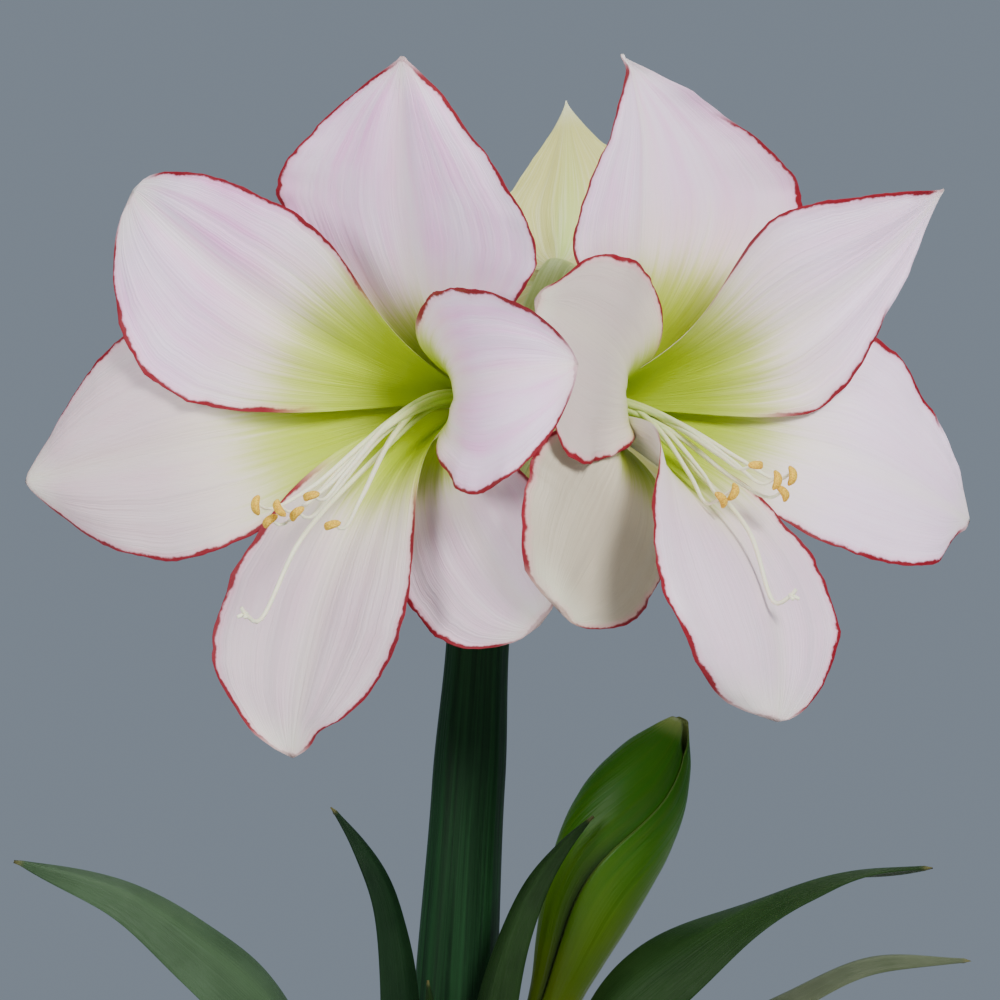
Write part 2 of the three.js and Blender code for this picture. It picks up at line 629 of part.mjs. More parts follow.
const BUD_STALK_FOOT = [13, 9, WELL_FLOOR + GAP];
const stalkEnd = vec(BUD_FOOT).addScaledVector(budAxis, -2 * GAP);
const stalkNeck = vec(BUD_FOOT).addScaledVector(budAxis, -12);
const STALK_PATH = [BUD_STALK_FOOT, [13, 9, 175], [15.6, 7, 215], stalkNeck.toArray(), stalkEnd.toArray()];
add("bud_stalk", taperedTube(STALK_PATH, (s) => 6.2 + 0.4 * s, 12, 11), BUD_GREEN, 0.5);
add("bud_sheath_right", thickened(sheathSurface(0), () => VALVE_THICKNESS, 10, 9), BUD_GREEN, 0.45);
add("bud_sheath_left", thickened(sheathSurface(180), () => VALVE_THICKNESS, 10, 9), BUD_GREEN, 0.45);
add("bud_flowers", budFlowers(), CREAM, 0.6);

// Leaves and bracts are straps along a route. sides lists [share of the length, direction across the strap],
// width is the full width, foot the share of it at the base, and channel the depth of its trough.
const LEAF_FOOT = WELL_FLOOR + GAP;
const LEAVES = {
  far_left: {
    route: [[-19.4, -3, LEAF_FOOT], [-19.4, -3, 170], [-20.5, -6, 200], [-25, -12, 235], [-36, -20, 270],
      [-50.7, -26, 292.4], [-65, -30, 305.8], [-85.2, -34, 320.3], [-113.6, -38, 330.1]],
    sides: [[0, [0, -1, 0]], [0.3, [0, -1, 0]], [0.7, [-0.25, -0.75, -0.55]], [1, [-0.2, -0.8, -0.5]]],
    width: 30, foot: 0.45, channel: 0.32,
  },
  near_left: {
    route: [[-11.8, -11.1, LEAF_FOOT], [-11.8, -11.1, 170], [-12.5, -14.4, 205], [-12.5, -18, 250],
      [-12.2, -20, 292], [-14.6, -21, 310.6], [-17.9, -23, 322.5], [-24, -25, 333.8], [-31.2, -26, 343.4]],
    sides: [[0, [-0.7, 0.7, 0]], [0.5, [-0.75, -0.65, 0]], [1, [-0.6, -0.75, -0.3]]],
    width: 17, foot: 0.7, channel: 0.35,
  },
  young: {
    route: [[-3, -6, LEAF_FOOT], [-3, -6, 170], [-1.6, -8, 210], [-2.6, -9.6, 255], [-5.8, -10.6, 296]],
    sides: [[0, [-1, 0, 0]], [1, [-0.9, -0.4, 0]]],
    width: 12, foot: 0.75, channel: 0.3,
  },
  near_right: {
    route: [[8.5, -11, LEAF_FOOT], [8.5, -11, 170], [8, -14, 205], [8.6, -17, 250], [12.2, -18.5, 291.5],
      [21.5, -19.5, 319.4], [30, -19.5, 332], [38.3, -18.5, 340.4]],
    sides: [[0, [-0.95, 0.25, 0]], [0.5, [-0.8, 0.6, 0]], [1, [-0.6, 0.6, 0.5]]],
    width: 16, foot: 0.75, channel: 0.35,
  },
  right: {
    route: [[19.2, -4, LEAF_FOOT], [19.2, -4, 170], [20.2, -7, 198], [24, -12.5, 238], [33, -18.5, 270],
      [46.6, -23, 292], [74.6, -28, 312.5], [101.3, -35, 324.9], [126.3, -41, 328.6]],
    sides: [[0, [0, 1, 0]], [0.3, [0.1, 1, 0]], [0.65, [-0.3, 0.7, 0.6]], [0.86, [0, 1, 0.15]],
      [1, [0.1, 0.9, -0.35]]],
    width: 29, foot: 0.42, channel: 0.3,
  },
  far_right: {
    route: [[22.7, 1.5, LEAF_FOOT], [22.7, 1.5, 170], [24.4, 2, 195], [31, 3, 225], [48, 5, 256],
      [70, 7, 277], [92.3, 8, 289], [114.2, 10, 298.3], [142.1, 14, 298.6]],
    sides: [[0, [0, 1, 0]], [0.4, [0, 1, 0.1]], [1, [0, 0.96, 0.28]]],
    width: 22, foot: 0.4, channel: 0.3,
  },
};
const STRAP_SHAPE = { widest: 0.5, tip: 1.9, sharpness: 0.85 };

// Direction at s in a list of [s, direction] pairs
function turnedSide(sides, s) {
  const n = sides.findIndex(([at]) => at >= s);
  if (n <= 0) return vec(sides[Math.max(n, 0)][1]);
  const [[s0, a], [s1, b]] = [sides[n - 1], sides[n]];
  return vec(a).lerp(vec(b), step(s0, s1, s));
}

function strapSurface(strap) {
  const curve = new THREE.CatmullRomCurve3(strap.route.map(vec), false, "centripetal");
  return (s, v) => {
    const tangent = curve.getTangentAt(s);
    const side = turnedSide(strap.sides, s);
    side.addScaledVector(tangent, -side.dot(tangent)).normalize();
    const normal = new THREE.Vector3().crossVectors(side, tangent);
    const grown = strap.foot + (1 - strap.foot) * step(0.08, STRAP_SHAPE.widest, s);
    const beyond = Math.max((s - STRAP_SHAPE.widest) / (1 - STRAP_SHAPE.widest), 0);
    const taper = Math.max((1 - beyond ** STRAP_SHAPE.tip) ** STRAP_SHAPE.sharpness, 0.05);
    const half = (strap.width / 2) * grown * taper;
    const trough = strap.channel * half * step(0, 0.2, s) * (Math.abs(v) ** 1.5 - 0.4);
    return curve.getPointAt(s)
      .addScaledVector(side, half * v)
      .addScaledVector(normal, trough);
  };
}

function leafThickness(s, v) {
  return (2.4 - 1.2 * s) * (1 - 0.5 * Math.abs(v)) + 0.2;
}

for (const [name, leaf] of Object.entries(LEAVES)) {
  add(`leaf_${name}`, thickened(strapSurface(leaf), leafThickness, 18, 4), LEAF_GREEN, 0.45);
}

const BRACTS = {
  left: {
    route: [[-1.6, 3, 407], [-2.8, 4, 413], [-6, 8, 424], [-13, 14, 437], [-22, 20, 441], [-29, 24, 438]],
    sides: [[0, [0.3, -1, 0]], [1, [0.4, -0.8, 0.3]]], width: 13, foot: 0.6, channel: 0.3,
  },
  right: {
    route: [[19.2, 3, 407], [21, 4, 413], [26, 9, 423], [34, 15, 431], [42, 20, 431], [48, 24, 426]],
    sides: [[0, [-0.3, -1, 0]], [1, [-0.4, -0.8, 0.3]]], width: 13, foot: 0.6, channel: 0.3,
  },
};

for (const [name, bract] of Object.entries(BRACTS)) {
  add(`bract_${name}`, thickened(strapSurface(bract), () => 0.7, 10, 2), PAPER_BROWN, 0.8);
}

export default plant;
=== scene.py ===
# Potted picotee amaryllis, dressed for the render. Shapes are worked out in millimetres, with +Z up and
# -Y at the front, and become metres when a mesh is made.
import math

import bmesh
import bpy
import numpy as np
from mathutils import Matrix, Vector


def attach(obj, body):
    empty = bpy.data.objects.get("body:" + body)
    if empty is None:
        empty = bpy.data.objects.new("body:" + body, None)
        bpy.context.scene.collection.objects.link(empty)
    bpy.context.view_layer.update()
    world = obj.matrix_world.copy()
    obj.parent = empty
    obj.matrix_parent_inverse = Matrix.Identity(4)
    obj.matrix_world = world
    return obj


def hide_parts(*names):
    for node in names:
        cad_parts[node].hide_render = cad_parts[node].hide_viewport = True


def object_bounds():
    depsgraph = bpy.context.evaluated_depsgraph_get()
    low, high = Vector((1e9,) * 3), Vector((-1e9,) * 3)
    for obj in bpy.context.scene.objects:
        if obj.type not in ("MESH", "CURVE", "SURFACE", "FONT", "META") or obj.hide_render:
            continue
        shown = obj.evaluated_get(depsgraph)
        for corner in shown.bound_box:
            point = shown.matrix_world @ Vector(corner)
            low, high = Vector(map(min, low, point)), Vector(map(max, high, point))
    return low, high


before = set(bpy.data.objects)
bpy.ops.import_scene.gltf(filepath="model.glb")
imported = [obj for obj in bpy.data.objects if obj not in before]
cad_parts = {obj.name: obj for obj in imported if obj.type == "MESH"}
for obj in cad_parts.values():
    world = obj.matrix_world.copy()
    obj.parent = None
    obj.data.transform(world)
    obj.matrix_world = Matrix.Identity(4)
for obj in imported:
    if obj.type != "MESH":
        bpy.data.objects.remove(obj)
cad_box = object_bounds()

rng = np.random.default_rng(7)
MM = 0.001
TAU = 2 * math.pi
THIRDS = [TAU * i / 3 + math.pi / 2 for i in range(3)]

# Camera: the photograph's view, level and from the front
CAMERA = (13.5, -1200, 424.5)
LENS = 160

# Sizes shared with the solids
GAP = 0.3
POT_HEIGHT = 135
POT_RIM_RADIUS = 80
POT_FOOT_RADIUS = 52.5
POT_WALL = 7
POT_FLOOR = 8
RIM_HEIGHT = 27
RIM_STEP = 5
DRAIN_RADIUS = 5
DRAIN_CIRCLE_RADIUS = 26
SOIL_TOP = 120
BULB_RADIUS = 49
BULB_BOTTOM = 66
NOSE_TOP = 168
WELL_FLOOR = 157
VALVE_THICKNESS = 1.2
OUTER_TUBE_RADIUS = 5.2
INNER_TUBE_RADIUS = 3.4
LEAF_FOOT = WELL_FLOOR + GAP
UMBEL = (9.2, 0, 412)


# Small mathematics

def step(a, b, x):
    """0 below a, 1 above b, and a smooth step between them."""
    t = np.clip((np.asarray(x, float) - a) / (b - a), 0, 1)
    return t * t * (3 - 2 * t)


def along(pairs, s):
    """Value at s in a list of (s, value) pairs, with a smooth change between them."""
    s = np.asarray(s, float)
    out = np.full(s.shape, float(pairs[0][1]))
    for (s0, v0), (s1, v1) in zip(pairs, pairs[1:]):
        out = np.where(s > s0, v0 + (v1 - v0) * step(s0, s1, s), out)
    return out


def cubic(a, b, slope_a, slope_b, t):
    """Smooth curve from a at t 0 to b at t 1, with its slopes at both ends."""
    bend, twist = 3 * (b - a) - 2 * slope_a - slope_b, 2 * (a - b) + slope_a + slope_b
    return a + slope_a * t + bend * t**2 + twist * t**3


def evenly(values, s):
    """Smooth curve through values that stand at even steps from 0 to 1."""
    y = np.array(values, float)
    last = len(y) - 1
    p = np.clip(np.asarray(s, float), 0, 1) * last
    i = np.minimum(np.floor(p).astype(int), last - 1)
    a, b, c, d = (y[np.clip(i + k, 0, last)] for k in (-1, 0, 1, 2))
    return cubic(b, c, (c - a) / 2, (d - b) / 2, p - i)


def unit(v):
    return v / np.maximum(np.linalg.norm(v, axis=-1, keepdims=True), 1e-12)


def circle(sides):
    """Angles in even steps once round."""
    return np.linspace(0, TAU, sides, endpoint=False)


def ring(turn, radius, x, y):
    """Points round the origin at the angles turn, in the plane of the directions x and y."""
    return (radius * np.cos(turn))[:, None] * x + (radius * np.sin(turn))[:, None] * y


def level_ring(turn, radius, z, radius_y=None):
    """Points round the Z axis at height z, on a circle or an ellipse."""
    other = radius if radius_y is None else radius_y
    return np.stack([radius * np.cos(turn), other * np.sin(turn), z + 0 * turn], -1)


def ripple(x, waves, seed):
    """A smooth irregular wave along x, between about -1 and 1, with so many waves in x from 0 to 1."""
    own = np.random.default_rng(seed)
    out = np.zeros_like(np.asarray(x, float))
    for share in (0.6, 1.0, 1.7):
        out += np.sin(TAU * waves * share * x + own.uniform(0, TAU)) * own.uniform(0.3, 0.6)
    return out / 1.1


class Route:
    """A smooth path through points, with its places counted by length from 0 to 1."""

    def __init__(self, points, samples=1600):
        p = np.array(points, float)
        p = np.vstack([2 * p[0] - p[1], p, 2 * p[-1] - p[-2]])
        pieces = []
        n = samples // (len(p) - 3)
        for i in range(len(p) - 3):
            a, b, c, d = p[i : i + 4]
            d0, d1, d2 = (max(np.sum((q - r) ** 2) ** 0.25, 1e-4) for q, r in ((b, a), (c, b), (d, c)))
            m1 = ((b - a) / d0 - (c - a) / (d0 + d1) + (c - b) / d1) * d1
            m2 = ((c - b) / d1 - (d - b) / (d1 + d2) + (d - c) / d2) * d1
            pieces.append(cubic(b, c, m1, m2, np.linspace(0, 1, n, endpoint=False)[:, None]))
        self.points = np.vstack(pieces + [p[-2][None]])
        lengths = np.linalg.norm(np.diff(self.points, axis=0), axis=1)
        self.share = np.concatenate([[0], np.cumsum(lengths)]) / np.sum(lengths)

    def at(self, s):
        return np.stack([np.interp(s, self.share, self.points[:, k]) for k in range(3)], -1)

    def tangent(self, s):
        s = np.asarray(s, float)
        return unit(self.at(np.minimum(s + 0.004, 1)) - self.at(np.maximum(s - 0.004, 0)))


# Meshes

def make_object(name, points, faces, facts=None):
    """A mesh object in metres from points in millimetres. facts are values for each point."""
    mesh = bpy.data.meshes.new(name)
    mesh.from_pydata((np.asarray(points) * MM).tolist(), [], [list(map(int, f)) for f in faces])
    for key, values in (facts or {}).items():
        mesh.attributes.new(key, "FLOAT", "POINT").data.foreach_set("value", np.asarray(values, np.float32))
    mesh.update()
    made = bmesh.new()
    made.from_mesh(mesh)
    if made.calc_volume(signed=True) < 0:
        bmesh.ops.reverse_faces(made, faces=made.faces)
    made.to_mesh(mesh)
    made.free()
    mesh.polygons.foreach_set("use_smooth", [True] * len(mesh.polygons))
    piece = bpy.data.objects.new(name, mesh)
    bpy.context.scene.collection.objects.link(piece)
    return piece


def grid_faces(ids, wrap=False):
    """Quads between the rows and columns of a grid of point numbers."""
    right = np.roll(ids, -1, axis=1) if wrap else ids[:, 1:]
    left = ids if wrap else ids[:, :-1]
    return np.stack([left[:-1], left[1:], right[1:], right[:-1]], -1).reshape(-1, 4)


def sheet(name, middle, half, facts):
    """A closed blade round a grid of points: half away from it on both sides, and sharp at its border."""
    rows, columns = middle.shape[:2]
    normal = unit(np.cross(np.gradient(middle, axis=0), np.gradient(middle, axis=1)))
    inner = (slice(1, -1), slice(1, -1))
    thick = np.zeros((rows, columns))
    thick[inner] = half[inner]
    front = middle + normal * thick[..., None]
    back = (middle - normal * thick[..., None])[inner]
    ids = np.arange(rows * columns).reshape(rows, columns)
    under = ids.copy()
    under[inner] = rows * columns + np.arange((rows - 2) * (columns - 2)).reshape(rows - 2, columns - 2)
    points = np.concatenate([front.reshape(-1, 3), back.reshape(-1, 3)])
    faces = np.concatenate([grid_faces(ids), grid_faces(under)[:, ::-1]])
    is_front = np.full((rows, columns), 0.5)
    is_front[inner] = 1
    values = {k: np.concatenate([v.ravel(), v[inner].ravel()]) for k, v in facts.items()}
    values["front"] = np.concatenate([is_front.ravel(), np.zeros((rows - 2) * (columns - 2))])
    return make_object(name, points, faces, values)


def ring_body(rings):
    """Points and faces of a body through rings with the same number of points, closed at both ends."""
    rings = np.asarray(rings)
    count, sides = rings.shape[:2]
    ids = np.arange(count * sides).reshape(count, sides)
    faces = [list(f) for f in grid_faces(ids, wrap=True)]
    points = np.vstack([rings.reshape(-1, 3), rings[0].mean(0), rings[-1].mean(0)])
    for j in range(sides):
        k = (j + 1) % sides
        faces.append([ids[0, j], ids[0, k], len(points) - 2])
        faces.append([ids[-1, k], ids[-1, j], len(points) - 1])
    return points, faces


def tube_rings(route, radius, sides, steps, level=False, lobes=None):
    """Rings round a route. radius(s) is its radius, and lobes(s, turn) a factor on it."""
    s = np.linspace(0, 1, steps + 1)
    centre, tangent = route.at(s), route.tangent(s)
    across = unit(np.cross(tangent[0], [0.3, 1, 0.2]))
    turn = circle(sides)
    rings = []
    for i in range(steps + 1):
        if level:
            x, y = np.array([1.0, 0, 0]), np.array([0, 1.0, 0])
        else:
            across = unit(across - tangent[i] * (across @ tangent[i]))
            x, y = across, np.cross(tangent[i], across)
        r = float(radius(s[i])) * (np.ones(sides) if lobes is None else lobes(s[i], turn))
        rings.append(centre[i] + ring(turn, r, x, y))
    return np.array(rings)


def tube_facts(rings):
    """How far along and how far round each point of a tube is, for its caps too."""
    count, sides = rings.shape[:2]
    s = np.repeat(np.linspace(0, 1, count), sides)
    turn = np.tile(circle(sides), count)
    return {
        "along": np.append(s, [0, 1]),
        "round_x": np.append(np.cos(turn), [0, 0]),
        "round_y": np.append(np.sin(turn), [0, 0]),
    }


def tube(name, route, radius, sides, steps, level=False, lobes=None):
    rings = tube_rings(route, radius, sides, steps, level, lobes)
    points, faces = ring_body(rings)
    return make_object(name, points, faces, tube_facts(rings))


def merged(name, bodies):
    """One object from several (points, faces, facts) bodies with the same facts."""
    points, faces, facts, start = [], [], {}, 0
    for p, f, values in bodies:
        points.append(p)
        faces += [[v + start for v in face] for face in f]
        start += len(p)
        for key, value in values.items():
            facts.setdefault(key, []).append(np.broadcast_to(value, len(p)))
    return make_object(name, np.vstack(points), faces, {k: np.concatenate(v) for k, v in facts.items()})


def turned(name, profile, sides):
    """A body turned round the Z axis from (radius, height) points that start and end on the axis."""
    return make_object(name, *ring_body([level_ring(circle(sides), r, z) for r, z in profile[1:-1]]))


def rounded(profile, radius):
    """The profile with its corners rounded off."""
    out = [profile[0]]
    for a, b, c in zip(profile, profile[1:], profile[2:]):
        a, b, c = (np.array(p, float) for p in (a, b, c))
        reach = min(radius, 0.45 * np.linalg.norm(a - b), 0.45 * np.linalg.norm(c - b))
        p, q = b + unit(a - b) * reach, b + unit(c - b) * reach
        for t in (0, 0.25, 0.5, 0.75, 1):
            out.append(tuple((1 - t) ** 2 * p + 2 * t * (1 - t) * b + t * t * q))
    return out + [profile[-1]]


# Materials

class Paint:
    """A material's nodes. Calls return output sockets, and take sockets or plain values."""

    def __init__(self, name, **shader):
        self.material = bpy.data.materials.new(name)
        self.material.use_nodes = True
        self.tree = self.material.node_tree
        self.shader = self.tree.nodes["Principled BSDF"]
        for key, value in shader.items():
            self.put(self.shader.inputs[key.replace("_", " ")], value)

    def put(self, socket, value):
        if isinstance(value, bpy.types.NodeSocket):
            self.tree.links.new(value, socket)
        else:
            socket.default_value = (*value, 1) if socket.type == "RGBA" and len(value) == 3 else value

    def node(self, kind, out=0, settings=None, **inputs):
        made = self.tree.nodes.new("ShaderNode" + kind)
        for key, value in (settings or {}).items():
            setattr(made, key, value)
        for key, value in inputs.items():
            index = int(key[1:]) if key[0] == "i" and key[1:].isdigit() else key.replace("_", " ")
            self.put(made.inputs[index], value)
        return made.outputs[out]

    def facts(self, *names):
        """The mesh's own values for each point."""
        return [self.node("Attribute", "Fac", {"attribute_name": name}) for name in names]

    def place(self):
        return self.node("TexCoord", "Object")

    def math(self, operation, a, b=0.0):
        return self.node("Math", 0, {"operation": operation}, i0=a, i1=b)

    def times(self, a, b):
        return self.math("MULTIPLY", a, b)

    def plus(self, a, b, share=1):
        """a and a share of b."""
        return self.math("ADD", a, b if share == 1 else self.times(b, share))

    def ramp(self, low, high, x):
        """0 where x is at low, 1 where it is at high, smoothly between."""
        settings = {"interpolation_type": "SMOOTHSTEP"}
        return self.node("MapRange", 0, settings, Value=x, From_Min=low, From_Max=high)

    def mix(self, factor, a, b):
        return self.node("Mix", 2, {"data_type": "RGBA"}, i0=factor, i6=a, i7=b)

    def over(self, below, colour, cover, strength=1):
        """colour laid over what is below, as far as cover and strength say."""
        return self.mix(cover if strength == 1 else self.times(cover, strength), below, colour)

    def coats(self, colour, *layers):
        """The layers laid over the colour in turn, each with its cover and maybe its strength."""
        for layer in layers:
            colour = self.over(colour, *layer)
        return colour

    def noise(self, vector, scale, detail, rough):
        return self.node("TexNoise", Vector=vector, Scale=scale, Detail=detail, Roughness=rough)

    def cloud(self, scale, detail=2, rough=0.5):
        """Noise in the piece's own space, with one scale or with three."""
        place = self.place()
        if isinstance(scale, tuple):
            place, scale = self.node("Mapping", Vector=place, Scale=scale), 1
        return self.noise(place, scale, detail, rough)

    def streaks(self, x, y, z=0.0, detail=4, rough=0.65):
        """Noise in the space of three facts. x, y and z are a fact, or a pair of a fact and its scale."""
        axes = [self.times(*axis) if isinstance(axis, tuple) else axis for axis in (x, y, z)]
        return self.noise(self.node("CombineXYZ", X=axes[0], Y=axes[1], Z=axes[2]), 1, detail, rough)

    def bump(self, height, distance, strength):
        self.put(self.shader.inputs["Normal"],
                 self.node("Bump", Height=height, Distance=distance, Strength=strength))

    def finish(self, colour, roughness):
        self.put(self.shader.inputs["Base Color"], colour)
        self.put(self.shader.inputs["Roughness"], roughness)
        return self.material


def petal_material(name, back_green, back_colour):
    """White petal with a red margin, a green throat, soft pink streaks, a creamy middle and tip, and a dull
    warm painted shade on the petals that lie in shade.
    """
    p = Paint(name, Subsurface_Weight=0.2, Subsurface_Scale=0.001, Subsurface_Radius=(1.0, 0.8, 0.7),
              Specular_IOR_Level=0.3)
    s, v, edge, front = p.facts("along", "across", "edge", "front")
    red, blush, cream_and_shade, lag, own = p.facts("red", "blush", "cream_and_shade", "lag", "own")
    off_middle = p.math("ABSOLUTE", v)
    streaks = p.streaks((v, 6), (s, 1.6), own, 2, 0.5)
    veins = p.streaks((v, 24), (s, 1.3), own, 3, 0.6)
    cells = p.streaks((v, 90), (s, 9), own, 2, 0.5)
    # Blade: lilac white with pink along the streaks and in soft patches
    pink = p.plus(p.times(p.ramp(0.38, 0.66, streaks), 0.6), p.ramp(0.4, 0.68, p.cloud(34)), 0.5)
    colour = p.coats(
        (0.95, 0.735, 0.93),
        ((0.95, 0.46, 0.80), pink, blush),
        ((0.88, 0.64, 0.82), p.ramp(0.46, 0.62, veins), 0.3),
        ((0.93, 0.85, 0.78), p.ramp(0.24, 0, off_middle), 0.4),
        # painted shade, dull and warm, laid over the petals that lie in shade, each by its own amount
        ((0.50, 0.44, 0.33), cream_and_shade),
    )
    # Throat: deepest green at the base, and reaching furthest along the middle and the veins
    reach = p.plus(p.plus(s, lag), off_middle, 0.05)
    reach = p.plus(reach, p.math("SUBTRACT", veins, 0.5), 0.14)
    colour = p.coats(
        colour,
        ((0.90, 0.82, 0.62), p.ramp(0.66, 0.42, reach), 0.6),
        ((0.56, 0.64, 0.10), p.ramp(0.5, 0.34, reach), 0.85),
        ((0.40, 0.52, 0.003), p.ramp(0.45, 0.25, reach)),
    )
    # Back: a green midrib on a paler blade
    rib = p.times(p.ramp(0.34, 0.04, off_middle), p.ramp(1.05, 0.25, s))
    behind = p.over(back_colour, (0.42, 0.54, 0.10), rib, back_green)
    behind = p.over(behind, (0.74, 0.73, 0.58), p.ramp(0.45, 0.62, veins), 0.25)
    # Margin: a carmine line with a feathered pink inner side
    broad, fine = (p.math("SUBTRACT", p.cloud(scale, detail), 0.5) for scale, detail in ((110, 1), (700, 2)))
    distance = p.plus(edge, p.plus(p.times(broad, 2.6), fine, 1.1))
    colour = p.coats(
        behind,
        (colour, front),
        ((0.84, 0.86, 0.66), p.ramp(0.88, 1, s), 0.5),
        ((0.80, 0.22, 0.34), p.times(p.ramp(3.2, 0.6, distance), 0.42), red),
        ((0.20, 0.002, 0.010), p.ramp(1.45, 0.7, distance), red),
    )
    p.bump(p.plus(p.times(veins, 0.8), cells, 0.2), 0.0009, 0.5)
    return p.finish(colour, p.plus(0.42, cells, 0.15))


def leaf_material(name, deep, light, stripe=0.3):
    """Strap leaf with fine lengthwise veins, a pale middle and a pale foot."""
    p = Paint(name, Specular_IOR_Level=0.1)
    s, v, front = p.facts("along", "across", "front")
    veins = p.streaks((v, 16), (s, 3))
    blotch = p.cloud(45, 3, 0.6)
    colour = p.coats(
        deep,
        (light, p.ramp(0.3, 0.7, blotch)),
        (light, p.ramp(0.42, 0.62, veins), 0.5),
        (tuple(1.5 * c for c in light), p.ramp(0.3, 0, p.math("ABSOLUTE", v)), stripe),
        (deep, p.math("SUBTRACT", 1, front), 0.4),
        ((0.42, 0.46, 0.24), p.ramp(0.16, 0, s), 0.75),
        ((0.16, 0.14, 0.05), p.ramp(0.985, 1, s), 0.7),
    )
    p.bump(p.plus(veins, blotch, 0.3), 0.0006, 0.6)
    return p.finish(colour, p.plus(0.34, veins, 0.2))


def stem_material(name, deep, light, foot=(0.28, 0.31, 0.14), foot_reach=0.15):
    """Smooth stalk with faint lengthwise stripes and a paler foot."""
    p = Paint(name, Specular_IOR_Level=0.1)
    s, x, y = p.facts("along", "round_x", "round_y")
    stripes = p.streaks((x, 5), (y, 5), (s, 1.5))
    fine = p.cloud((1400, 1400, 160))
    colour = p.coats(
        deep,
        (light, p.ramp(0.32, 0.68, stripes)),
        (light, p.ramp(0.5, 0.75, fine), 0.25),
        (foot, p.ramp(foot_reach, 0, s), 0.8),
    )
    p.bump(p.plus(stripes, fine, 0.2), 0.0008, 0.5)
    return p.finish(colour, p.plus(0.34, stripes, 0.2))


def bud_material():
    """Yellow green at the foot and rich green above, with painted shade darkening its margins and a band of
    painted shadow beside the seam.
    """
    p = Paint("bud_green", Specular_IOR_Level=0.15)
    s, v, front, edge, seam_shadow = p.facts("along", "across", "front", "edge", "seam_shadow")
    veins = p.streaks((v, 12), (s, 1.2))
    blotch = p.cloud(40)
    colour = p.coats(
        (0.050, 0.078, 0.003),
        ((0.018, 0.096, 0.0005), p.ramp(0.1, 0.8, s)),
        ((0.055, 0.105, 0.004), p.ramp(0.4, 0.65, veins), 0.4),
        ((0.018, 0.066, 0.003), p.ramp(0.45, 0.7, blotch), 0.35),
        ((0.30, 0.34, 0.10), p.ramp(0.93, 1, s), 0.55),
        # painted shade: the margins darker, deepening the seam where one sheath lies over the other
        ((0.03, 0.035, 0.008), p.ramp(0.7, 0.1, edge), 0.35),
        # painted shadow beside the seam, where the other sheath's free edge lies over this one
        ((0.006, 0.016, 0.001), seam_shadow, 0.85),
        ((0.2, 0.25, 0.08), p.math("SUBTRACT", 1, front), 0.5),
    )
    p.bump(p.plus(veins, blotch, 0.3), 0.0008, 0.5)
    return p.finish(colour, p.plus(0.28, veins, 0.18))


def cream_material():
    """Folded petals inside the bud."""
    p = Paint("bud_petals", Subsurface_Weight=0.2, Subsurface_Scale=0.003)
    fine = p.cloud((900, 900, 90), 3)
    colour = p.over((0.78, 0.78, 0.62), (0.62, 0.66, 0.40), p.ramp(0.3, 0.7, fine))
    p.bump(fine, 0.0004, 0.5)
    return p.finish(colour, p.plus(0.4, fine, 0.2))


def stamen_material():
    """Cream filaments, greener at the foot, and dusty yellow anthers with a seam."""
    p = Paint("stamen_cream", Subsurface_Weight=0.15, Subsurface_Scale=0.001)
    s, pollen = p.facts("along", "pollen")
    grain = p.cloud(2600, 3, 0.6)
    stalk = p.over((0.60, 0.70, 0.16), (0.90, 0.89, 0.64), p.ramp(0.05, 0.75, s))
    stalk = p.over(stalk, (0.72, 0.74, 0.40), p.ramp(0.5, 0.7, grain), 0.2)
    dust = p.over((0.56, 0.29, 0.010), (0.84, 0.54, 0.035), p.ramp(0.35, 0.65, grain))
    p.bump(grain, 0.0003, 0.6)
    return p.finish(p.over(stalk, dust, pollen), p.plus(0.45, pollen, 0.35))


def paper_material(name, deep, light):
    """Dry papery skin with lengthwise fibres and darker blotches."""
    p = Paint(name, Specular_IOR_Level=0.3)
    fibres = p.cloud((700, 700, 60), 4, 0.65)
    blotch = p.cloud(60, 4, 0.6)
    colour = p.over(deep, light, p.ramp(0.3, 0.7, fibres))
    colour = p.over(colour, tuple(0.45 * c for c in deep), p.ramp(0.5, 0.72, blotch), 0.6)
    p.bump(p.plus(fibres, blotch, 0.5), 0.0012, 0.8)
    return p.finish(colour, p.plus(0.5, fibres, 0.25))


def clay_material():
    """Terracotta with turning marks, a pale lime bloom low on the wall, and a wall darker towards the foot.
    """
    p = Paint("terracotta", Specular_IOR_Level=0.25)
    grain = p.cloud(900, 4, 0.65)
    broad = p.cloud(22, 4, 0.6)
    height = p.node("SeparateXYZ", 2, Vector=p.place())
    lime = p.times(p.ramp(0.52, 0.72, p.cloud(55, 5, 0.7)), 0.38)
    colour = p.coats(
        (0.44, 0.15, 0.075),
        ((0.56, 0.23, 0.12), p.ramp(0.3, 0.7, broad)),
        ((0.34, 0.11, 0.055), p.ramp(0.45, 0.7, grain), 0.3),
        ((0.66, 0.52, 0.44), lime, p.ramp(0.12, 0.02, height)),
        # the wall darker towards the foot
        ((0.22, 0.08, 0.045), p.ramp(0.035, 0, p.plus(height, broad, 0.02)), 0.45),
    )
    p.bump(p.plus(p.times(grain, 0.5), p.cloud((6, 6, 520), 3, 0.6), 0.5), 0.0007, 0.8)
    return p.finish(colour, p.plus(0.78, grain, 0.15))


def soil_material():
    p = Paint("soil_dark", Specular_IOR_Level=0.2)
    crumbs = p.node("TexVoronoi", "Distance", Vector=p.place(), Scale=420)
    grain = p.cloud(700, 5, 0.7)
    colour = p.over((0.018, 0.011, 0.007), (0.065, 0.04, 0.024), p.ramp(0.35, 0.65, grain))
    colour = p.over(colour, (0.2, 0.13, 0.07), p.ramp(0.66, 0.74, grain))
    p.bump(p.plus(grain, crumbs, -1), 0.003, 1)
    return p.finish(colour, p.plus(0.85, grain, 0.1))


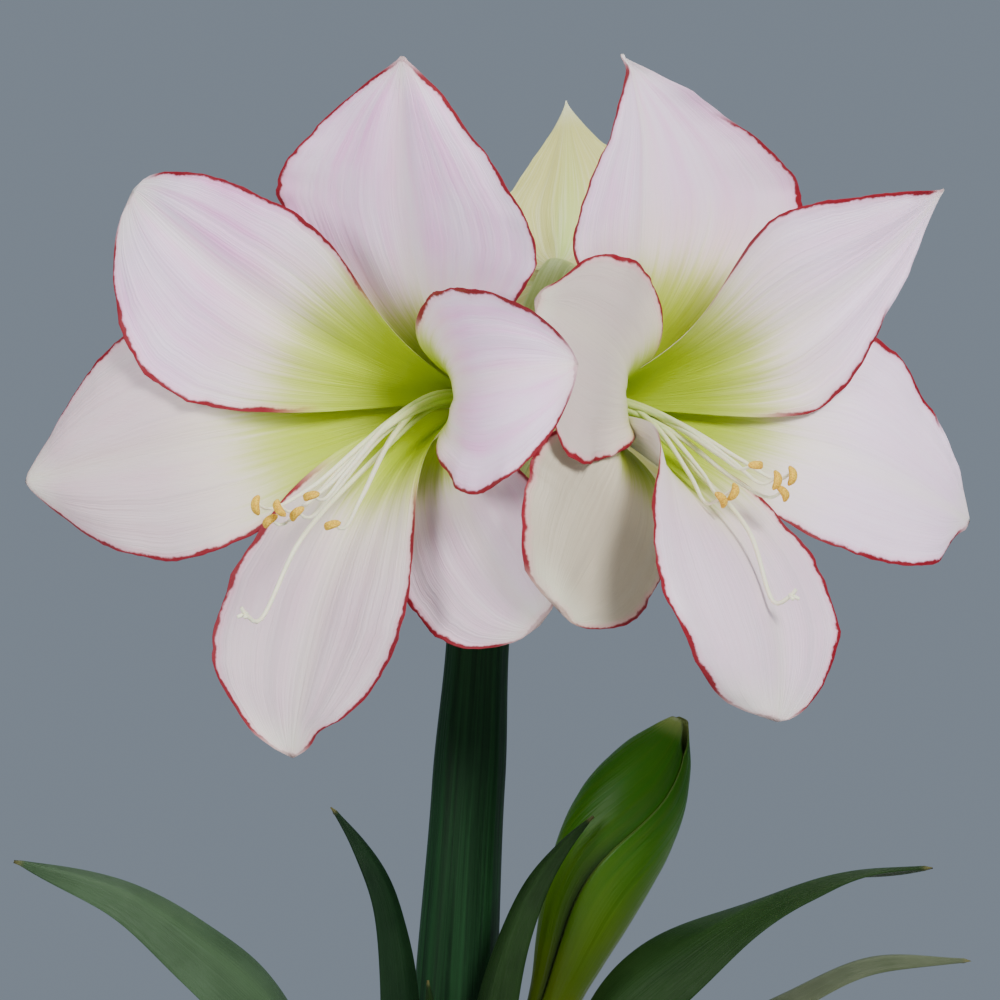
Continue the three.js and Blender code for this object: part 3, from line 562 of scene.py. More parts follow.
petal_face = petal_material("petal_face", 0.6, (0.86, 0.80, 0.78))
petal_back = petal_material("petal_back", 0.95, (0.52, 0.51, 0.15))
leaf_deep = leaf_material("leaf_deep", (0.003, 0.012, 0.004), (0.008, 0.026, 0.008), 0.2)
leaf_mid = leaf_material("leaf_mid", (0.006, 0.020, 0.0035), (0.016, 0.040, 0.0095))
leaf_light = leaf_material("leaf_light", (0.0055, 0.018, 0.003), (0.013, 0.036, 0.0065))
# the two far leaves are paler copies with a painted sheen, as if their upturned faces catch the light
leaf_painted_sheen = leaf_material("leaf_painted_sheen", (0.024, 0.051, 0.021), (0.052, 0.092, 0.046))
leaf_grey_painted_sheen = leaf_material("leaf_grey_painted_sheen", (0.048, 0.063, 0.030), (0.106, 0.124, 0.074))
scape_green = stem_material("scape_green", (0.003, 0.014, 0.0045), (0.009, 0.040, 0.012))
pedicel_green = stem_material("pedicel_green", (0.34, 0.42, 0.10), (0.50, 0.56, 0.20),
                              (0.05, 0.10, 0.02), 0.5)
bud_stalk_green = stem_material("bud_stalk_green", (0.02, 0.05, 0.01), (0.045, 0.09, 0.015))
bud_green = bud_material()
bud_petals = cream_material()
stamen_cream = stamen_material()
bulb_skin = paper_material("bulb_skin", (0.20, 0.075, 0.028), (0.38, 0.19, 0.085))
bract_paper = paper_material("bract_paper", (0.34, 0.22, 0.12), (0.56, 0.44, 0.28))
terracotta = clay_material()
soil_dark = soil_material()


def dress(piece, node, material):
    """The piece stands for a node of the solids, with its material."""
    piece.data.materials.append(material)
    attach(piece, "root")
    if node:
        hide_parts(node)


# Pot

def drain_cutter(turn):
    """An upright rod through the pot's floor."""
    middle = DRAIN_CIRCLE_RADIUS * np.array([math.cos(turn), math.sin(turn)])
    rings = [level_ring(circle(32), DRAIN_RADIUS, z) + [*middle, 0] for z in (-10, 20)]
    return make_object("cutter", *ring_body(rings))


def wall_radius(z):
    """Inner radius of the pot's wall at a height."""
    low = POT_FOOT_RADIUS - POT_WALL + 0.5
    return low + (POT_RIM_RADIUS - POT_WALL - low) * (z - POT_FLOOR) / (POT_HEIGHT - 2 - POT_FLOOR)


pot_profile = [
    (0, 0), (POT_FOOT_RADIUS, 0), (POT_RIM_RADIUS - RIM_STEP, POT_HEIGHT - RIM_HEIGHT),
    (POT_RIM_RADIUS, POT_HEIGHT - RIM_HEIGHT), (POT_RIM_RADIUS, POT_HEIGHT),
    (POT_RIM_RADIUS - POT_WALL, POT_HEIGHT), (wall_radius(POT_FLOOR), POT_FLOOR), (0, POT_FLOOR),
]
pot = turned("clay_pot", rounded(pot_profile, 2.2), 120)
for turn in THIRDS:
    cutter = drain_cutter(turn)
    cut = pot.modifiers.new("drain", "BOOLEAN")
    cut.operation, cut.object, cut.solver = "DIFFERENCE", cutter, "EXACT"
    bpy.context.view_layer.update()
    whole = bpy.data.meshes.new_from_object(pot.evaluated_get(bpy.context.evaluated_depsgraph_get()))
    pot.modifiers.clear()
    pot.data = whole
    bpy.data.objects.remove(cutter)
pot.data.polygons.foreach_set("use_smooth", [True] * len(pot.data.polygons))
pot.data.set_sharp_from_angle(angle=math.radians(50))
dress(pot, "pot", terracotta)

# Bulb: an onion shape with wrinkled papery skins that end in torn edges, and a well of cut neck layers

BULB_OUTLINE = [(0.3, BULB_BOTTOM), (0.46, 68), (0.78, 80), (0.95, 97), (1, 114), (0.98, 128), (0.89, 142),
                (0.75, 153), (0.62, 162)]
FRILL_FROM = 160
SKIN_BASE = 100
SKIN_HALF_THICKNESS = 0.15
NECK_RINGS = [(28.2, 26, NOSE_TOP - 1.5), (27, 24.6, NOSE_TOP), (25.6, 21.6, NOSE_TOP - 0.5),
              (25.2, 21.2, WELL_FLOOR)]


def bulb_rings(sides):
    outline = np.array([(r * BULB_RADIUS, r * BULB_RADIUS, z) for r, z in BULB_OUTLINE] + [NECK_RINGS[0]])
    route = Route(outline, 900)
    body = route.at(np.linspace(0, 1, 46))
    turn = circle(sides)
    share = turn / TAU
    rings = []
    for rx, ry, z in body:
        depth = 0.5 * step(BULB_BOTTOM, 90, z)
        folds = 0.5 * depth * (0.6 * ripple(share, 22, 3) + ripple(share, 9, 4) - 1)
        rings.append(level_ring(turn, rx + folds, z, ry + folds))
    frill = 0.5 * ripple(share, 14, 5)
    for rx, ry, z in NECK_RINGS[1:]:
        rings.append(level_ring(turn, rx, z + frill * (z > FRILL_FROM) - 0.4, ry))
    return rings


dress(make_object("bulb_body", *ring_body(bulb_rings(144))), "bulb", bulb_skin)


def skin(name, first, last, top, seed):
    """A loose outer skin on the bulb between two turns, with a torn upper edge near height top."""
    turn = np.linspace(first, last, 90)[None, :]
    t = np.linspace(0, 1, 40)[:, None]
    share = turn / (last - first)
    torn = top + 4.5 * ripple(share, 6, seed) + 2 * ripple(share, 19, seed + 1)
    z = SKIN_BASE + (torn - SKIN_BASE) * t
    heights = [h for _, h in BULB_OUTLINE]
    radius = np.interp(z, heights, [r * BULB_RADIUS for r, _ in BULB_OUTLINE])
    lifted = 0.25 + 0.9 * t**3 * (0.6 + 0.4 * ripple(turn, 1.3, seed + 2))
    radius = np.minimum(radius + lifted, BULB_RADIUS - 0.02)
    middle = np.stack([radius * np.cos(turn), radius * np.sin(turn), z + 0 * turn], -1)
    half = np.full(middle.shape[:2], SKIN_HALF_THICKNESS)
    dress(sheet(name, middle, half, {}), None, bulb_skin)


skin("bulb_skin_front", -2.6, -0.4, 140, 21)
skin("bulb_skin_side", 0.1, 2.2, 134, 25)
skin("bulb_skin_back", 2.5, 3.5, 144, 29)

# Soil: crumbly top, and loose crumbs on it


def soil_height(x, y):
    broad = np.sin(0.31 * x + 1) * np.cos(0.27 * y)
    fine = np.sin(0.6 * x - 0.7 * y)
    crumbly = 0.35 * np.sin(1.7 * x + 0.9 * y) * np.cos(1.3 * y - 0.6 * x)
    crumbly = crumbly + 0.25 * np.sin(3.1 * x) * np.sin(2.7 * y)
    return SOIL_TOP + 1.3 * broad + 0.7 * fine + crumbly - 0.4


def soil_body():
    turn = circle(180)
    outer = wall_radius(SOIL_TOP - 3) - 1
    floor = POT_FLOOR + GAP
    wall = [(wall_radius(POT_FLOOR) - 0.6, floor), (wall_radius(90) - 0.6, 90), (outer, SOIL_TOP - 3)]
    rings = [level_ring(turn, r, z) for r, z in wall]
    for r in np.linspace(outer - 0.3, BULB_RADIUS + 0.6, 22):
        x, y = r * np.cos(turn), r * np.sin(turn)
        rings.append(np.stack([x, y, soil_height(x, y)], -1))
    for share, z in reversed([p for p in BULB_OUTLINE if p[1] < SOIL_TOP - 4]):
        rings.append(level_ring(turn, share * BULB_RADIUS + 0.6, z - 0.3))
    return ring_body(rings)


dress(make_object("soil_body", *soil_body()), "soil", soil_dark)


CRUMBS = 260


def crumbs(count):
    base = bmesh.new()
    bmesh.ops.create_icosphere(base, subdivisions=2, radius=1)
    ball = np.array([v.co[:] for v in base.verts])
    faces = [[v.index for v in f.verts] for f in base.faces]
    base.free()
    bodies = []
    for _ in range(count):
        turn, r = rng.uniform(0, TAU), rng.uniform(BULB_RADIUS + 4, wall_radius(SOIL_TOP) - 4)
        x, y = r * math.cos(turn), r * math.sin(turn)
        size = rng.uniform(0.7, 2.0)
        lumpy = ball * (1 + 0.22 * np.sin(ball @ rng.normal(size=3) * 4 + rng.uniform(0, 6)))[:, None]
        p = lumpy * size * rng.uniform(0.6, 1.1, 3) + [x, y, float(soil_height(x, y)) + 0.25 * size]
        bodies.append((p, faces, {}))
    return merged("soil_crumbs", bodies)


dress(crumbs(CRUMBS), None, soil_dark)

# Flower stalk and the short stalks of the blooms

SCAPE_RADII = [(0, 10.3), (0.25, 11.8), (0.5, 11.4), (0.75, 10), (0.9, 8.6), (0.96, 8.2), (1, 8.8)]
SCAPE_PATH = [(-6.6, 8.7, LEAF_FOOT), (1.2, 5, 289), (5.2, 2.2, 352), UMBEL]
scape = tube("flower_stalk", Route(SCAPE_PATH), lambda s: along(SCAPE_RADII, s), 72, 90, level=True,
             lobes=lambda s, turn: 1 - 0.012 + 0.012 * np.sin(9 * turn + 3 * s))
dress(scape, "scape", scape_green)

PEDICEL_RADII = [(0, 3.2), (0.35, 3.2), (0.58, 4.4), (0.75, 6.2), (0.9, 6), (1, 6.6)]
STEM_FOOT = UMBEL[2] + GAP
BLOOMS = {
    "left": {
        "base": (4.2, -22, 451), "azimuth": -38, "elevation": 0,
        "stem": [(4.8, -3.4, STEM_FOOT), (4.8, -3.4, 415), (7, -4.6, 426), (9.2, -8, 439), (8.6, -15, 448)],
    },
    "right": {
        "base": (37.4, -22, 449.7), "azimuth": 50, "elevation": 0,
        "stem": [(13.6, -3.4, STEM_FOOT), (13.6, -3.4, 415), (16, -4.6, 426), (20, -7.6, 440),
                 (28.2, -14.4, 448.6)],
    },
    "back": {
        "base": (30, 25, 484), "azimuth": 172, "elevation": -12,
        "stem": [(9.2, 4.4, STEM_FOOT), (9.2, 4.4, 415), (12, 5, 432), (18, 6, 456), (25.6, 9.4, 477),
                 (29, 17, 484.6)],
    },
}


def ovary(s, turn):
    return 1 - 0.07 * step(0.5, 0.7, s) * (1 - step(0.92, 1, s)) * (1 + np.cos(3 * turn))


for name, bloom in BLOOMS.items():
    a, e = math.radians(bloom["azimuth"]), math.radians(bloom["elevation"])
    bloom["axis"] = np.array([math.sin(a) * math.cos(e), -math.cos(a) * math.cos(e), math.sin(e)])
    bloom["right"] = np.array([math.cos(a), math.sin(a), 0])
    bloom["up"] = np.cross(bloom["axis"], bloom["right"])
    base = np.array(bloom["base"], float)
    path = bloom["stem"] + [base - 2.5 * bloom["axis"], base - 0.5 * bloom["axis"]]
    piece = tube(f"stem_{name}", Route(path), lambda s: along(PEDICEL_RADII, s), 36, 60, lobes=ovary)
    dress(piece, f"pedicel_{name}", pedicel_green)

# Petals. angle is where a petal stands round the bloom, reach and forward place its tip, and leaves and
# arrives are the midrib's directions at its ends. Pairs are for the clockwise and the anticlockwise half:
# share is the half's part of the width, claw, widest, shoulder and point shape its outline, lift bends its
# edge, and funnel limits its width near the base. hook bends the limb sideways and curl the tip. notches are
# (half, place, depth, length), and bare (half, from, to) is a stretch with no red margin. blush is how pink
# the petal is, cream_and_shade how much painted shade, dull and warm, darkens it, and lag how much the green
# throat falls short.

LEFT_TEPALS = {
    "outer_top": dict(
        angle=80, reach=88, forward=45, leaves=24, arrives=84, early=0.3, width=88, share=(1.56, 1.14),
        claw=(0.8, 1.25), widest=(0.38, 0.5), shoulder=(1.15, 1.35), point=(0.95, 1), lift=(-3, 0),
        funnel=(1.25, 0.93), blush=0.95, cream_and_shade=0.03, lag=0.1),
    "inner_right": dict(
        angle=7, reach=63, forward=33, leaves=16, arrives=122, early=0.4, late=0.5, width=56,
        share=(1.25, 0.85), claw=(0.8, 1), widest=(0.5, 0.56), lift=(4, 5), funnel=(0.95, 1.45),
        blush=0.95),
    "outer_low_right": dict(
        angle=-50, reach=76, forward=31, leaves=16, arrives=105, early=0.4, width=52, share=(1.06, 0.8),
        widest=(0.65, 0.65), point=(0.55, 0.55), lift=(0, -4), blush=0.6, cream_and_shade=0.42),
    "inner_bottom": dict(
        angle=259, reach=95, forward=49, leaves=14, arrives=90, width=64, share=(0.92, 0.95),
        widest=(0.72, 0.64), shoulder=(2.2, 1.7), point=(0.7, 0.9), lift=(3, 0), funnel=(0.83, 0.83),
        notches=((1, 0.93, 0.3, 0.035),), cream_and_shade=0.52),
    "outer_low_left": dict(
        angle=192, reach=104, forward=62, leaves=22, arrives=86, early=0.35, width=68, share=(1.16, 0.9),
        widest=(0.5, 0.6), shoulder=(1.7, 1.9), point=(0.8, 0.8), lift=(-6, -5), cream_and_shade=0.58, lag=-0.05),
    "inner_top_left": dict(
        angle=140, reach=86, forward=58, leaves=16, arrives=88, width=64, share=(0.93, 1.25),
        claw=(0.8, 1.1), widest=(0.45, 0.5), shoulder=(1.6, 1.8), point=(0.55, 0.5),
        bare=((0, 0.95, 1.1), (1, 0.97, 1.1)), blush=1.0, lag=-0.06),
}
RIGHT_TEPALS = {
    "outer_top": dict(
        angle=97, reach=91.5, forward=26, leaves=24, arrives=90, early=0.3, width=76, share=(1.9, 1),
        claw=(0.7, 1.25), widest=(0.44, 0.5), shoulder=(1.35, 1.6), point=(1.3, 1.5), lift=(7, 0),
        hook=5, curl=3.5, funnel=(1.3, 0.93), bare=((0, 0.78, 1.1),), blush=0.75),
    "inner_top_right": dict(
        angle=40, reach=90, forward=66, leaves=14, arrives=90, width=62, share=(0.95, 1.28),
        claw=(1, 0.75), widest=(0.42, 0.4), shoulder=(1.1, 1.4), point=(1.4, 1.05), funnel=(0.93, 1.25),
        bare=((0, 0.66, 1.1),), blush=0.35),
    "outer_low_right": dict(
        angle=-20, reach=91, forward=63, leaves=20, arrives=95, width=62, share=(0.78, 1.42),
        widest=(0.6, 0.46), shoulder=(2.2, 1.2), point=(0.6, 0.9), notches=((0, 0.97, 0.45, 0.05),),
        bare=((1, 0.78, 1.1),), blush=0.15),
    "inner_bottom": dict(
        angle=-100, reach=82.4, forward=72, leaves=25, arrives=95, width=66, share=(1.5, 0.8),
        claw=(0.9, 1.25), widest=(0.5, 0.6), point=(0.62, 0.6), lift=(-8, 0), funnel=(1.25, 0.93),
        blush=0.3, cream_and_shade=0.3),
    "outer_low_left": dict(
        angle=-135, reach=76, forward=34, leaves=20, arrives=95, width=60, share=(1.1, 0.75),
        claw=(1.6, 1.25), widest=(0.62, 0.6), point=(0.6, 0.6), lift=(-8, 0), blush=0.15, cream_and_shade=1.0),
    "inner_top_left": dict(
        angle=152, reach=55, forward=21, leaves=6, arrives=122, early=0.5, late=0.5, width=50,
        share=(0.95, 1.8), claw=(1.25, 1.6), widest=(0.6, 0.64), shoulder=(2.2, 1.6), point=(0.7, 0.9),
        lift=(0, 4), funnel=(1.15, 1.2), notches=((0, 0.95, 0.3, 0.05),), blush=0.45, cream_and_shade=0.8),
}
BACK_TEPALS = {
    "outer_top": dict(
        angle=84, reach=72, forward=60, leaves=22, arrives=78, width=58, share=(0.8, 1),
        shoulder=(1.3, 1.3), point=(1.4, 1.4), bare=((0, 0, 1.1), (1, 0, 1.1)), cream_and_shade=0.5),
    "inner_top_left": dict(angle=30, reach=62, forward=66, leaves=14, arrives=90, width=54),
    "outer_low_left": dict(angle=-30, reach=74, forward=56, leaves=22, arrives=95, width=62),
    "inner_bottom": dict(angle=-90, reach=72, forward=60, leaves=15, arrives=90, width=52),
    "outer_low_right": dict(angle=-150, reach=74, forward=56, leaves=22, arrives=95, width=62),
    "inner_top_right": dict(angle=150, reach=60, forward=66, leaves=14, arrives=90, width=54),
}
COMMON = dict(early=0.45, late=0.35, share=(1, 1), claw=(1.25, 1.25), widest=(0.58, 0.58),
              shoulder=(2.2, 2.2), point=(0.7, 0.7), lift=(0, 0), funnel=(0.93, 0.93), hook=0, curl=0,
              notches=(), bare=(), blush=0.5, cream_and_shade=0, lag=0)
PETAL_ROWS = 72
PETAL_COLUMNS = 40
RUFFLE = 1.1
FRILL = 0.35
FURROW = 0.4
CLAW_SHARE = 0.1
TIP_SHARE = 0.01
KEEL_DEPTH = 1.2
LIMB_CURVATURE = 0.004
PETAL_HALF_THICKNESS = 0.3
FULL_BEND_HALF_WIDTH = 12
BOX_LOW, BOX_HIGH = (np.array(corner) / MM for corner in cad_box)


def radial(bloom, turn):
    return bloom["right"] * math.cos(turn) + bloom["up"] * math.sin(turn)


def half_width(t, s, side, radius):
    """Half of a petal's width at s, on its clockwise side (0) or anticlockwise side (1)."""
    widest = t["widest"][side]
    swelling = np.sin(math.pi / 2 * np.minimum(s / widest, 1)) ** t["claw"][side]
    low = CLAW_SHARE + (1 - CLAW_SHARE) * swelling
    beyond = np.clip((s - widest) / (1 - widest), 0, 1)
    high = np.maximum((1 - beyond ** t["shoulder"][side]) ** t["point"][side], TIP_SHARE)
    wide = np.where(beyond > 0, high, low) * t["width"] * t["share"][side] / 2
    for half, place, depth, length in t["notches"]:
        if half == side:
            wide = wide * (1 - depth * np.exp(-(((s - place) / length) ** 2)))
    return (wide**-5.0 + (t["funnel"][side] * radius) ** -5.0) ** -0.2


def midrib(t, tube_radius, s):
    """Distance from the axis, distance forward, their directions, and the whole length."""
    a0, a1 = math.radians(t["leaves"]), math.radians(t["arrives"])
    foot, tip = np.array([tube_radius, 0.0]), np.array([t["reach"], t["forward"]], float)
    chord = np.linalg.norm(tip - foot)
    p1 = foot + t["early"] * chord * np.array([math.sin(a0), math.cos(a0)])
    p2 = tip - t["late"] * chord * np.array([math.sin(a1), math.cos(a1)])
    u = np.linspace(0, 1, 900)[:, None]
    curve = (1 - u) ** 3 * foot + 3 * u * (1 - u) ** 2 * p1 + 3 * u * u * (1 - u) * p2 + u**3 * tip
    lengths = np.concatenate([[0], np.cumsum(np.linalg.norm(np.diff(curve, axis=0), axis=1))])
    slope = unit(np.gradient(curve, axis=0))
    at = [np.interp(s * lengths[-1], lengths, values) for values in (*curve.T, *slope.T)]
    return (*at, lengths[-1])


def petal(name, bloom, t, tube_radius, seed):
    """A petal from its base at s 0 to its tip at s 1, and from margin to margin with v from -1 to 1."""
    even = np.linspace(0, 1, PETAL_ROWS + 1)[:, None]
    s = 1.2 * even - 0.2 * even**2
    v = np.sin(np.linspace(-1, 1, PETAL_COLUMNS + 1) * math.pi / 2)[None, :]
    turn = math.radians(t["angle"])
    outwards, sideways = radial(bloom, turn), radial(bloom, turn + math.pi / 2)
    x, y, qx, qy, length = midrib(t, tube_radius, s)
    halves = [half_width(t, s, side, x) for side in (0, 1)]
    # Margins waver a little and are finely nibbled
    for side, half in enumerate(halves):
        wavering = 0.014 * ripple(s, 5, seed + side) + 0.007 * ripple(s, 33, seed + 5 + side)
        halves[side] = half * (1 + step(0.35, 0.6, s) * wavering)
    clockwise = v <= 0
    half = np.where(clockwise, *halves)
    d = v * half
    flat = step(0.25, 0.75, s)
    curvature = (1 - flat) * (np.maximum(qy, 0.05) / x) + flat * LIMB_CURVATURE
    keel = KEEL_DEPTH * (1 - np.exp(-((d / 5) ** 2))) * step(0.1, 0.4, s) * (1 - step(0.85, 1, s))
    lift = np.where(clockwise, *t["lift"]) * np.abs(v) ** 2.5 * step(0.3, 0.75, s)
    wave = np.where(clockwise, ripple(s, 2.6, seed + 12), ripple(s, 2.6, seed + 11))
    frill = np.where(clockwise, ripple(s, 9, seed + 14), ripple(s, 9, seed + 13))
    free = step(0.35, 0.6, s) * (1 - 0.8 * step(0.9, 1, s))
    ruffle = free * (RUFFLE * np.abs(v) ** 2.5 * wave + FRILL * np.abs(v) ** 6 * frill)
    slack = np.minimum(half / FULL_BEND_HALF_WIDTH, 1)
    furrows = FURROW * step(0.12, 0.4, s) * (1 - step(0.8, 1, s)) * ripple(v + 0.15 * s, 2.2, seed + 15)
    rise = (1 - np.cos(d * curvature)) / curvature + keel + (lift + ruffle + furrows) * slack
    shift = np.sin(d * curvature) / curvature + t["hook"] * step(0.6, 1, s) ** 2
    shift = shift + t["curl"] * step(0.93, 1, s) ** 2
    inwards = -qy[..., None] * outwards + qx[..., None] * bloom["axis"]
    middle = (np.array(bloom["base"]) + x[..., None] * outwards + y[..., None] * bloom["axis"]
              + shift[..., None] * sideways + rise[..., None] * inwards)
    middle = np.clip(middle, BOX_LOW + 2 * PETAL_HALF_THICKNESS, BOX_HIGH - 2 * PETAL_HALF_THICKNESS)
    edge = np.minimum(half * (1 - np.abs(v)), (1 - s) * length)
    red = step(0.3, 0.42, s) * (1 - 0.6 * step(0.95, 0.99, s)) + 0 * v
    for side, first, last in t["bare"]:
        there = (v > 0) == (side == 1)
        red = np.where(there, red * (1 - step(first, first + 0.05, s) * step(last, last - 0.05, s)), red)
    thick = PETAL_HALF_THICKNESS * np.sqrt(np.maximum(1 - np.abs(v) ** 6, 0)) * (1 - 0.5 * s)
    facts = {"along": s + 0 * v, "across": v + 0 * s, "edge": edge, "red": red}
    for key, value in {"blush": t["blush"], "cream_and_shade": t["cream_and_shade"], "lag": t["lag"], "own": seed}.items():
        facts[key] = np.full(edge.shape, float(value))
    return sheet(name, middle, thick, facts)


TEPALS = [("left", LEFT_TEPALS, petal_face), ("right", RIGHT_TEPALS, petal_face),
          ("back", BACK_TEPALS, petal_back)]
for b, (name, petals, look) in enumerate(TEPALS):
    for n, (where, own) in enumerate(petals.items()):
        tube_radius = OUTER_TUBE_RADIUS if where.startswith("outer") else INNER_TUBE_RADIUS
        piece = petal(f"petal_{name}_{where}", BLOOMS[name], {**COMMON, **own}, tube_radius, 100 * b + 20 * n)
        dress(piece, f"tepal_{name}_{where}", look)

# Stamens and pistils, in each bloom's own frame: to its right, up, forward

# The end of each filament, and the angle of its anther from the bloom's right, in degrees
ANTHERS = {
    "left": [(-2.1, -27.8, 82, 90), (3.7, -28.5, 80, 125), (-0.4, -31.8, 79, 35), (8.8, -25.5, 74, 15),
             (14, -32.8, 72, 15), (5, -30, 75, 40)],
    "right": [(-8.8, -16.3, 62, 0), (-10.6, -23.1, 56, 60), (-14.3, -25.2, 55, 130), (-3, -20.1, 64, 80),
              (0.8, -19, 66, 85), (0, -23.6, 64, 130)],
    "back": [(-8, -12, 60, 30), (-4, -17, 66, 95), (1, -21, 61, 150), (5, -16, 67, 60), (9, -11, 61, 10),
             (1, -10, 55, 120)],
}
STIGMAS = {"left": (-7.2, -56.2, 80), "right": (-13.6, -50.3, 76), "back": (-2, -36, 76)}
FILAMENT_RADIUS = 0.75
STYLE_RADIUS = 0.65
ANTHER_LENGTH = 5.2
ANTHER_RADIUS = 1.1
RECEPTACLE_RADIUS = 2.5
RECEPTACLE_HEIGHT = 1.4
RECEPTACLE_PROFILE = [(0.97, -0.2), (1, 0), (1, RECEPTACLE_HEIGHT - 0.5), (0.9, RECEPTACLE_HEIGHT - 0.2)]
RING_RADIUS = 1.7


def in_bloom(bloom, p):
    return np.array(bloom["base"]) + p[0] * bloom["right"] + p[1] * bloom["up"] + p[2] * bloom["axis"]


def declining(bloom, start, tip, sunk):
    """Route that leaves the tube straight, sinks by two shares on its way, and turns up at its end."""
    x, y, height = start
    right, up, forward = tip
    first, second = sunk
    return Route([in_bloom(bloom, p) for p in (
        (x, y, height),
        (x, y - 0.4, 0.16 * forward),
        (x + first * right, y + first * up, 0.45 * forward),
        (x + second * right, y + second * up, 0.77 * forward),
        (right, up - 1, forward - 5),
        (right, up + 1, forward),
    )])


def anther_rings(bloom, centre, lean):
    """A curved grain-shaped anther with a furrow down its length."""
    lengthwise, across = radial(bloom, lean), radial(bloom, lean + math.pi / 2)
    turn = circle(16)
    rings = []
    for t in np.linspace(-1, 1, 15):
        fat = ANTHER_RADIUS * max(1 - abs(t) ** 3.2, 0.02) ** 0.5
        middle = centre + lengthwise * t * ANTHER_LENGTH / 2 - bloom["axis"] * 1.2 * t * t
        r = fat * (1 - 0.22 * np.exp(-(((turn - math.pi / 2) / 0.45) ** 2)))
        rings.append(middle + ring(turn, r, across, bloom["axis"]))
    return np.array(rings)


def stamens(name, bloom):
    """Six stamens on a small disc, with their anthers, as one mesh."""
    disc = []
    for share, height in RECEPTACLE_PROFILE:
        rim = ring(circle(24), share * RECEPTACLE_RADIUS, bloom["right"], bloom["up"])
        disc.append(in_bloom(bloom, (0, 0, height)) + rim)
    bodies = [(*ring_body(disc), {"along": 0, "pollen": 0})]
    for i, (*tip, lean) in enumerate(ANTHERS[name]):
        a = math.radians(-15 + 42 * i)
        foot = (RING_RADIUS * math.cos(a), RING_RADIUS * math.sin(a), 0.6)
        route = declining(bloom, foot, tip, (0.3, 0.83))
        rings = tube_rings(route, lambda s: FILAMENT_RADIUS * (1.45 - 0.95 * s), 10, 40)
        bodies.append((*ring_body(rings), {"along": tube_facts(rings)["along"], "pollen": 0}))
        grain = anther_rings(bloom, in_bloom(bloom, tip), math.radians(lean))
        bodies.append((*ring_body(grain), {"along": 0, "pollen": 1}))
    return merged(f"stamens_of_{name}", bodies)


def pistil(name, bloom):
    """A style with a stigma of three short lobes."""
    tip = STIGMAS[name]
    route = declining(bloom, (0, -RING_RADIUS, RECEPTACLE_HEIGHT - 0.2 + GAP), tip, (0.26, 0.62))
    rings = tube_rings(route, lambda s: STYLE_RADIUS * (1.25 - 0.4 * s), 12, 60)
    bodies = [(*ring_body(rings), {"along": tube_facts(rings)["along"], "pollen": 0})]
    for turn in THIRDS:
        out = np.array([math.cos(turn), math.sin(turn), 0])
        start = np.array([tip[0], tip[1] + 1, tip[2] - 0.6])
        bend = [start, start + 0.5 * out + (0, 0, 1), start + 1.6 * out + (0, 0, 2)]
        lobe = tube_rings(Route([in_bloom(bloom, q) for q in bend]), lambda s: 0.58 - 0.1 * s, 10, 8)
        bodies.append((*ring_body(lobe), {"along": 1, "pollen": 0}))
    return merged(f"pistil_of_{name}", bodies)


for name, bloom in BLOOMS.items():
    dress(stamens(name, bloom), f"stamens_{name}", stamen_cream)
    dress(pistil(name, bloom), f"pistil_{name}", stamen_cream)

# Bud: two sheaths, each with one free edge over the other, round the closed flowers. The radii and the free
# edge's angle, in degrees, stand at even steps from foot to tip

BUD_FOOT = np.array([25.4, 2, 280])
BUD_TIP = np.array([62.0, -8, 366])
BUD_RADII = [6.2, 6.9, 9.4, 11.9, 13.6, 14.4, 13.3, 9.2, 2.8]
FREE_EDGE = [-45, -30, -24, -21, -19, -12.5, 0, 17, 34, 48, 58]
BUD_BOW = 3.3
BUD_FLATNESS = 0.8
SHEATH_ARC = 215
TUCK = 1.5
BUD_LENGTH = np.linalg.norm(BUD_TIP - BUD_FOOT)
bud_axis = unit(BUD_TIP - BUD_FOOT)
bud_side = unit(np.cross(bud_axis, [0, 1, 0]))
bud_front = unit(np.cross(bud_side, bud_axis))


def bud_point(s, angle, radius):
    """Point in the bud at s along it, radius away from its bowed middle line."""
    bow = BUD_BOW * np.sin(math.pi * np.clip(s, 0, 1)) ** 0.8
    return (BUD_FOOT + (s * BUD_LENGTH)[..., None] * bud_axis
            + (radius * np.sin(angle) + bow)[..., None] * bud_side
            + (BUD_FLATNESS * radius * np.cos(angle))[..., None] * bud_front)


def sheath(name, turn):
    """Half of the bud's cover, from its free edge at u 0 to its tucked edge at u 1."""
    s = np.linspace(0, 1, 71)[:, None]
    u = np.linspace(1, 0, 61)[None, :]
    share = s * (1 - 0.09 * (1 - np.sin(math.pi * u)) ** 2 - 0.08 * step(0.6, 1, u))
    angle = np.radians(evenly(FREE_EDGE, share) + turn + SHEATH_ARC * u)
    ribs = 0.05 * ripple(u * np.ones_like(s), 9, 61 + turn) * step(0.05, 0.3, share)
    upper = step(0.5, 0.75, share)
    radius = evenly(BUD_RADII, share) - TUCK * (1 - 0.45 * upper) * step(0.7, 0.83, u) + ribs - 0.1
    middle = bud_point(share, angle, radius)
    edge = np.minimum(radius * np.radians(SHEATH_ARC) * np.minimum(u, 1 - u), (1 - s) * BUD_LENGTH + 0 * u)
    # a band of painted shadow beside the seam, where the other sheath's free edge lies over this one, fading
    # in the upper half
    from_seam = radius * np.radians(SHEATH_ARC) * np.minimum(180 / SHEATH_ARC - u, 0.5)
    seam_shadow = np.exp(-((np.maximum(from_seam, 0) / 2.6) ** 2)) * (1 - upper)
    facts = {"along": share, "across": 2 * u - 1 + 0 * s, "edge": edge, "seam_shadow": seam_shadow}
    thick = 0.5 * (1 - 0.4 * upper) * np.minimum(1, edge / 2) ** 0.5
    return sheet(name, middle, thick, facts)


dress(sheath("bud_cover_right", 0), "bud_sheath_right", bud_green)
dress(sheath("bud_cover_left", 180), "bud_sheath_left", bud_green)


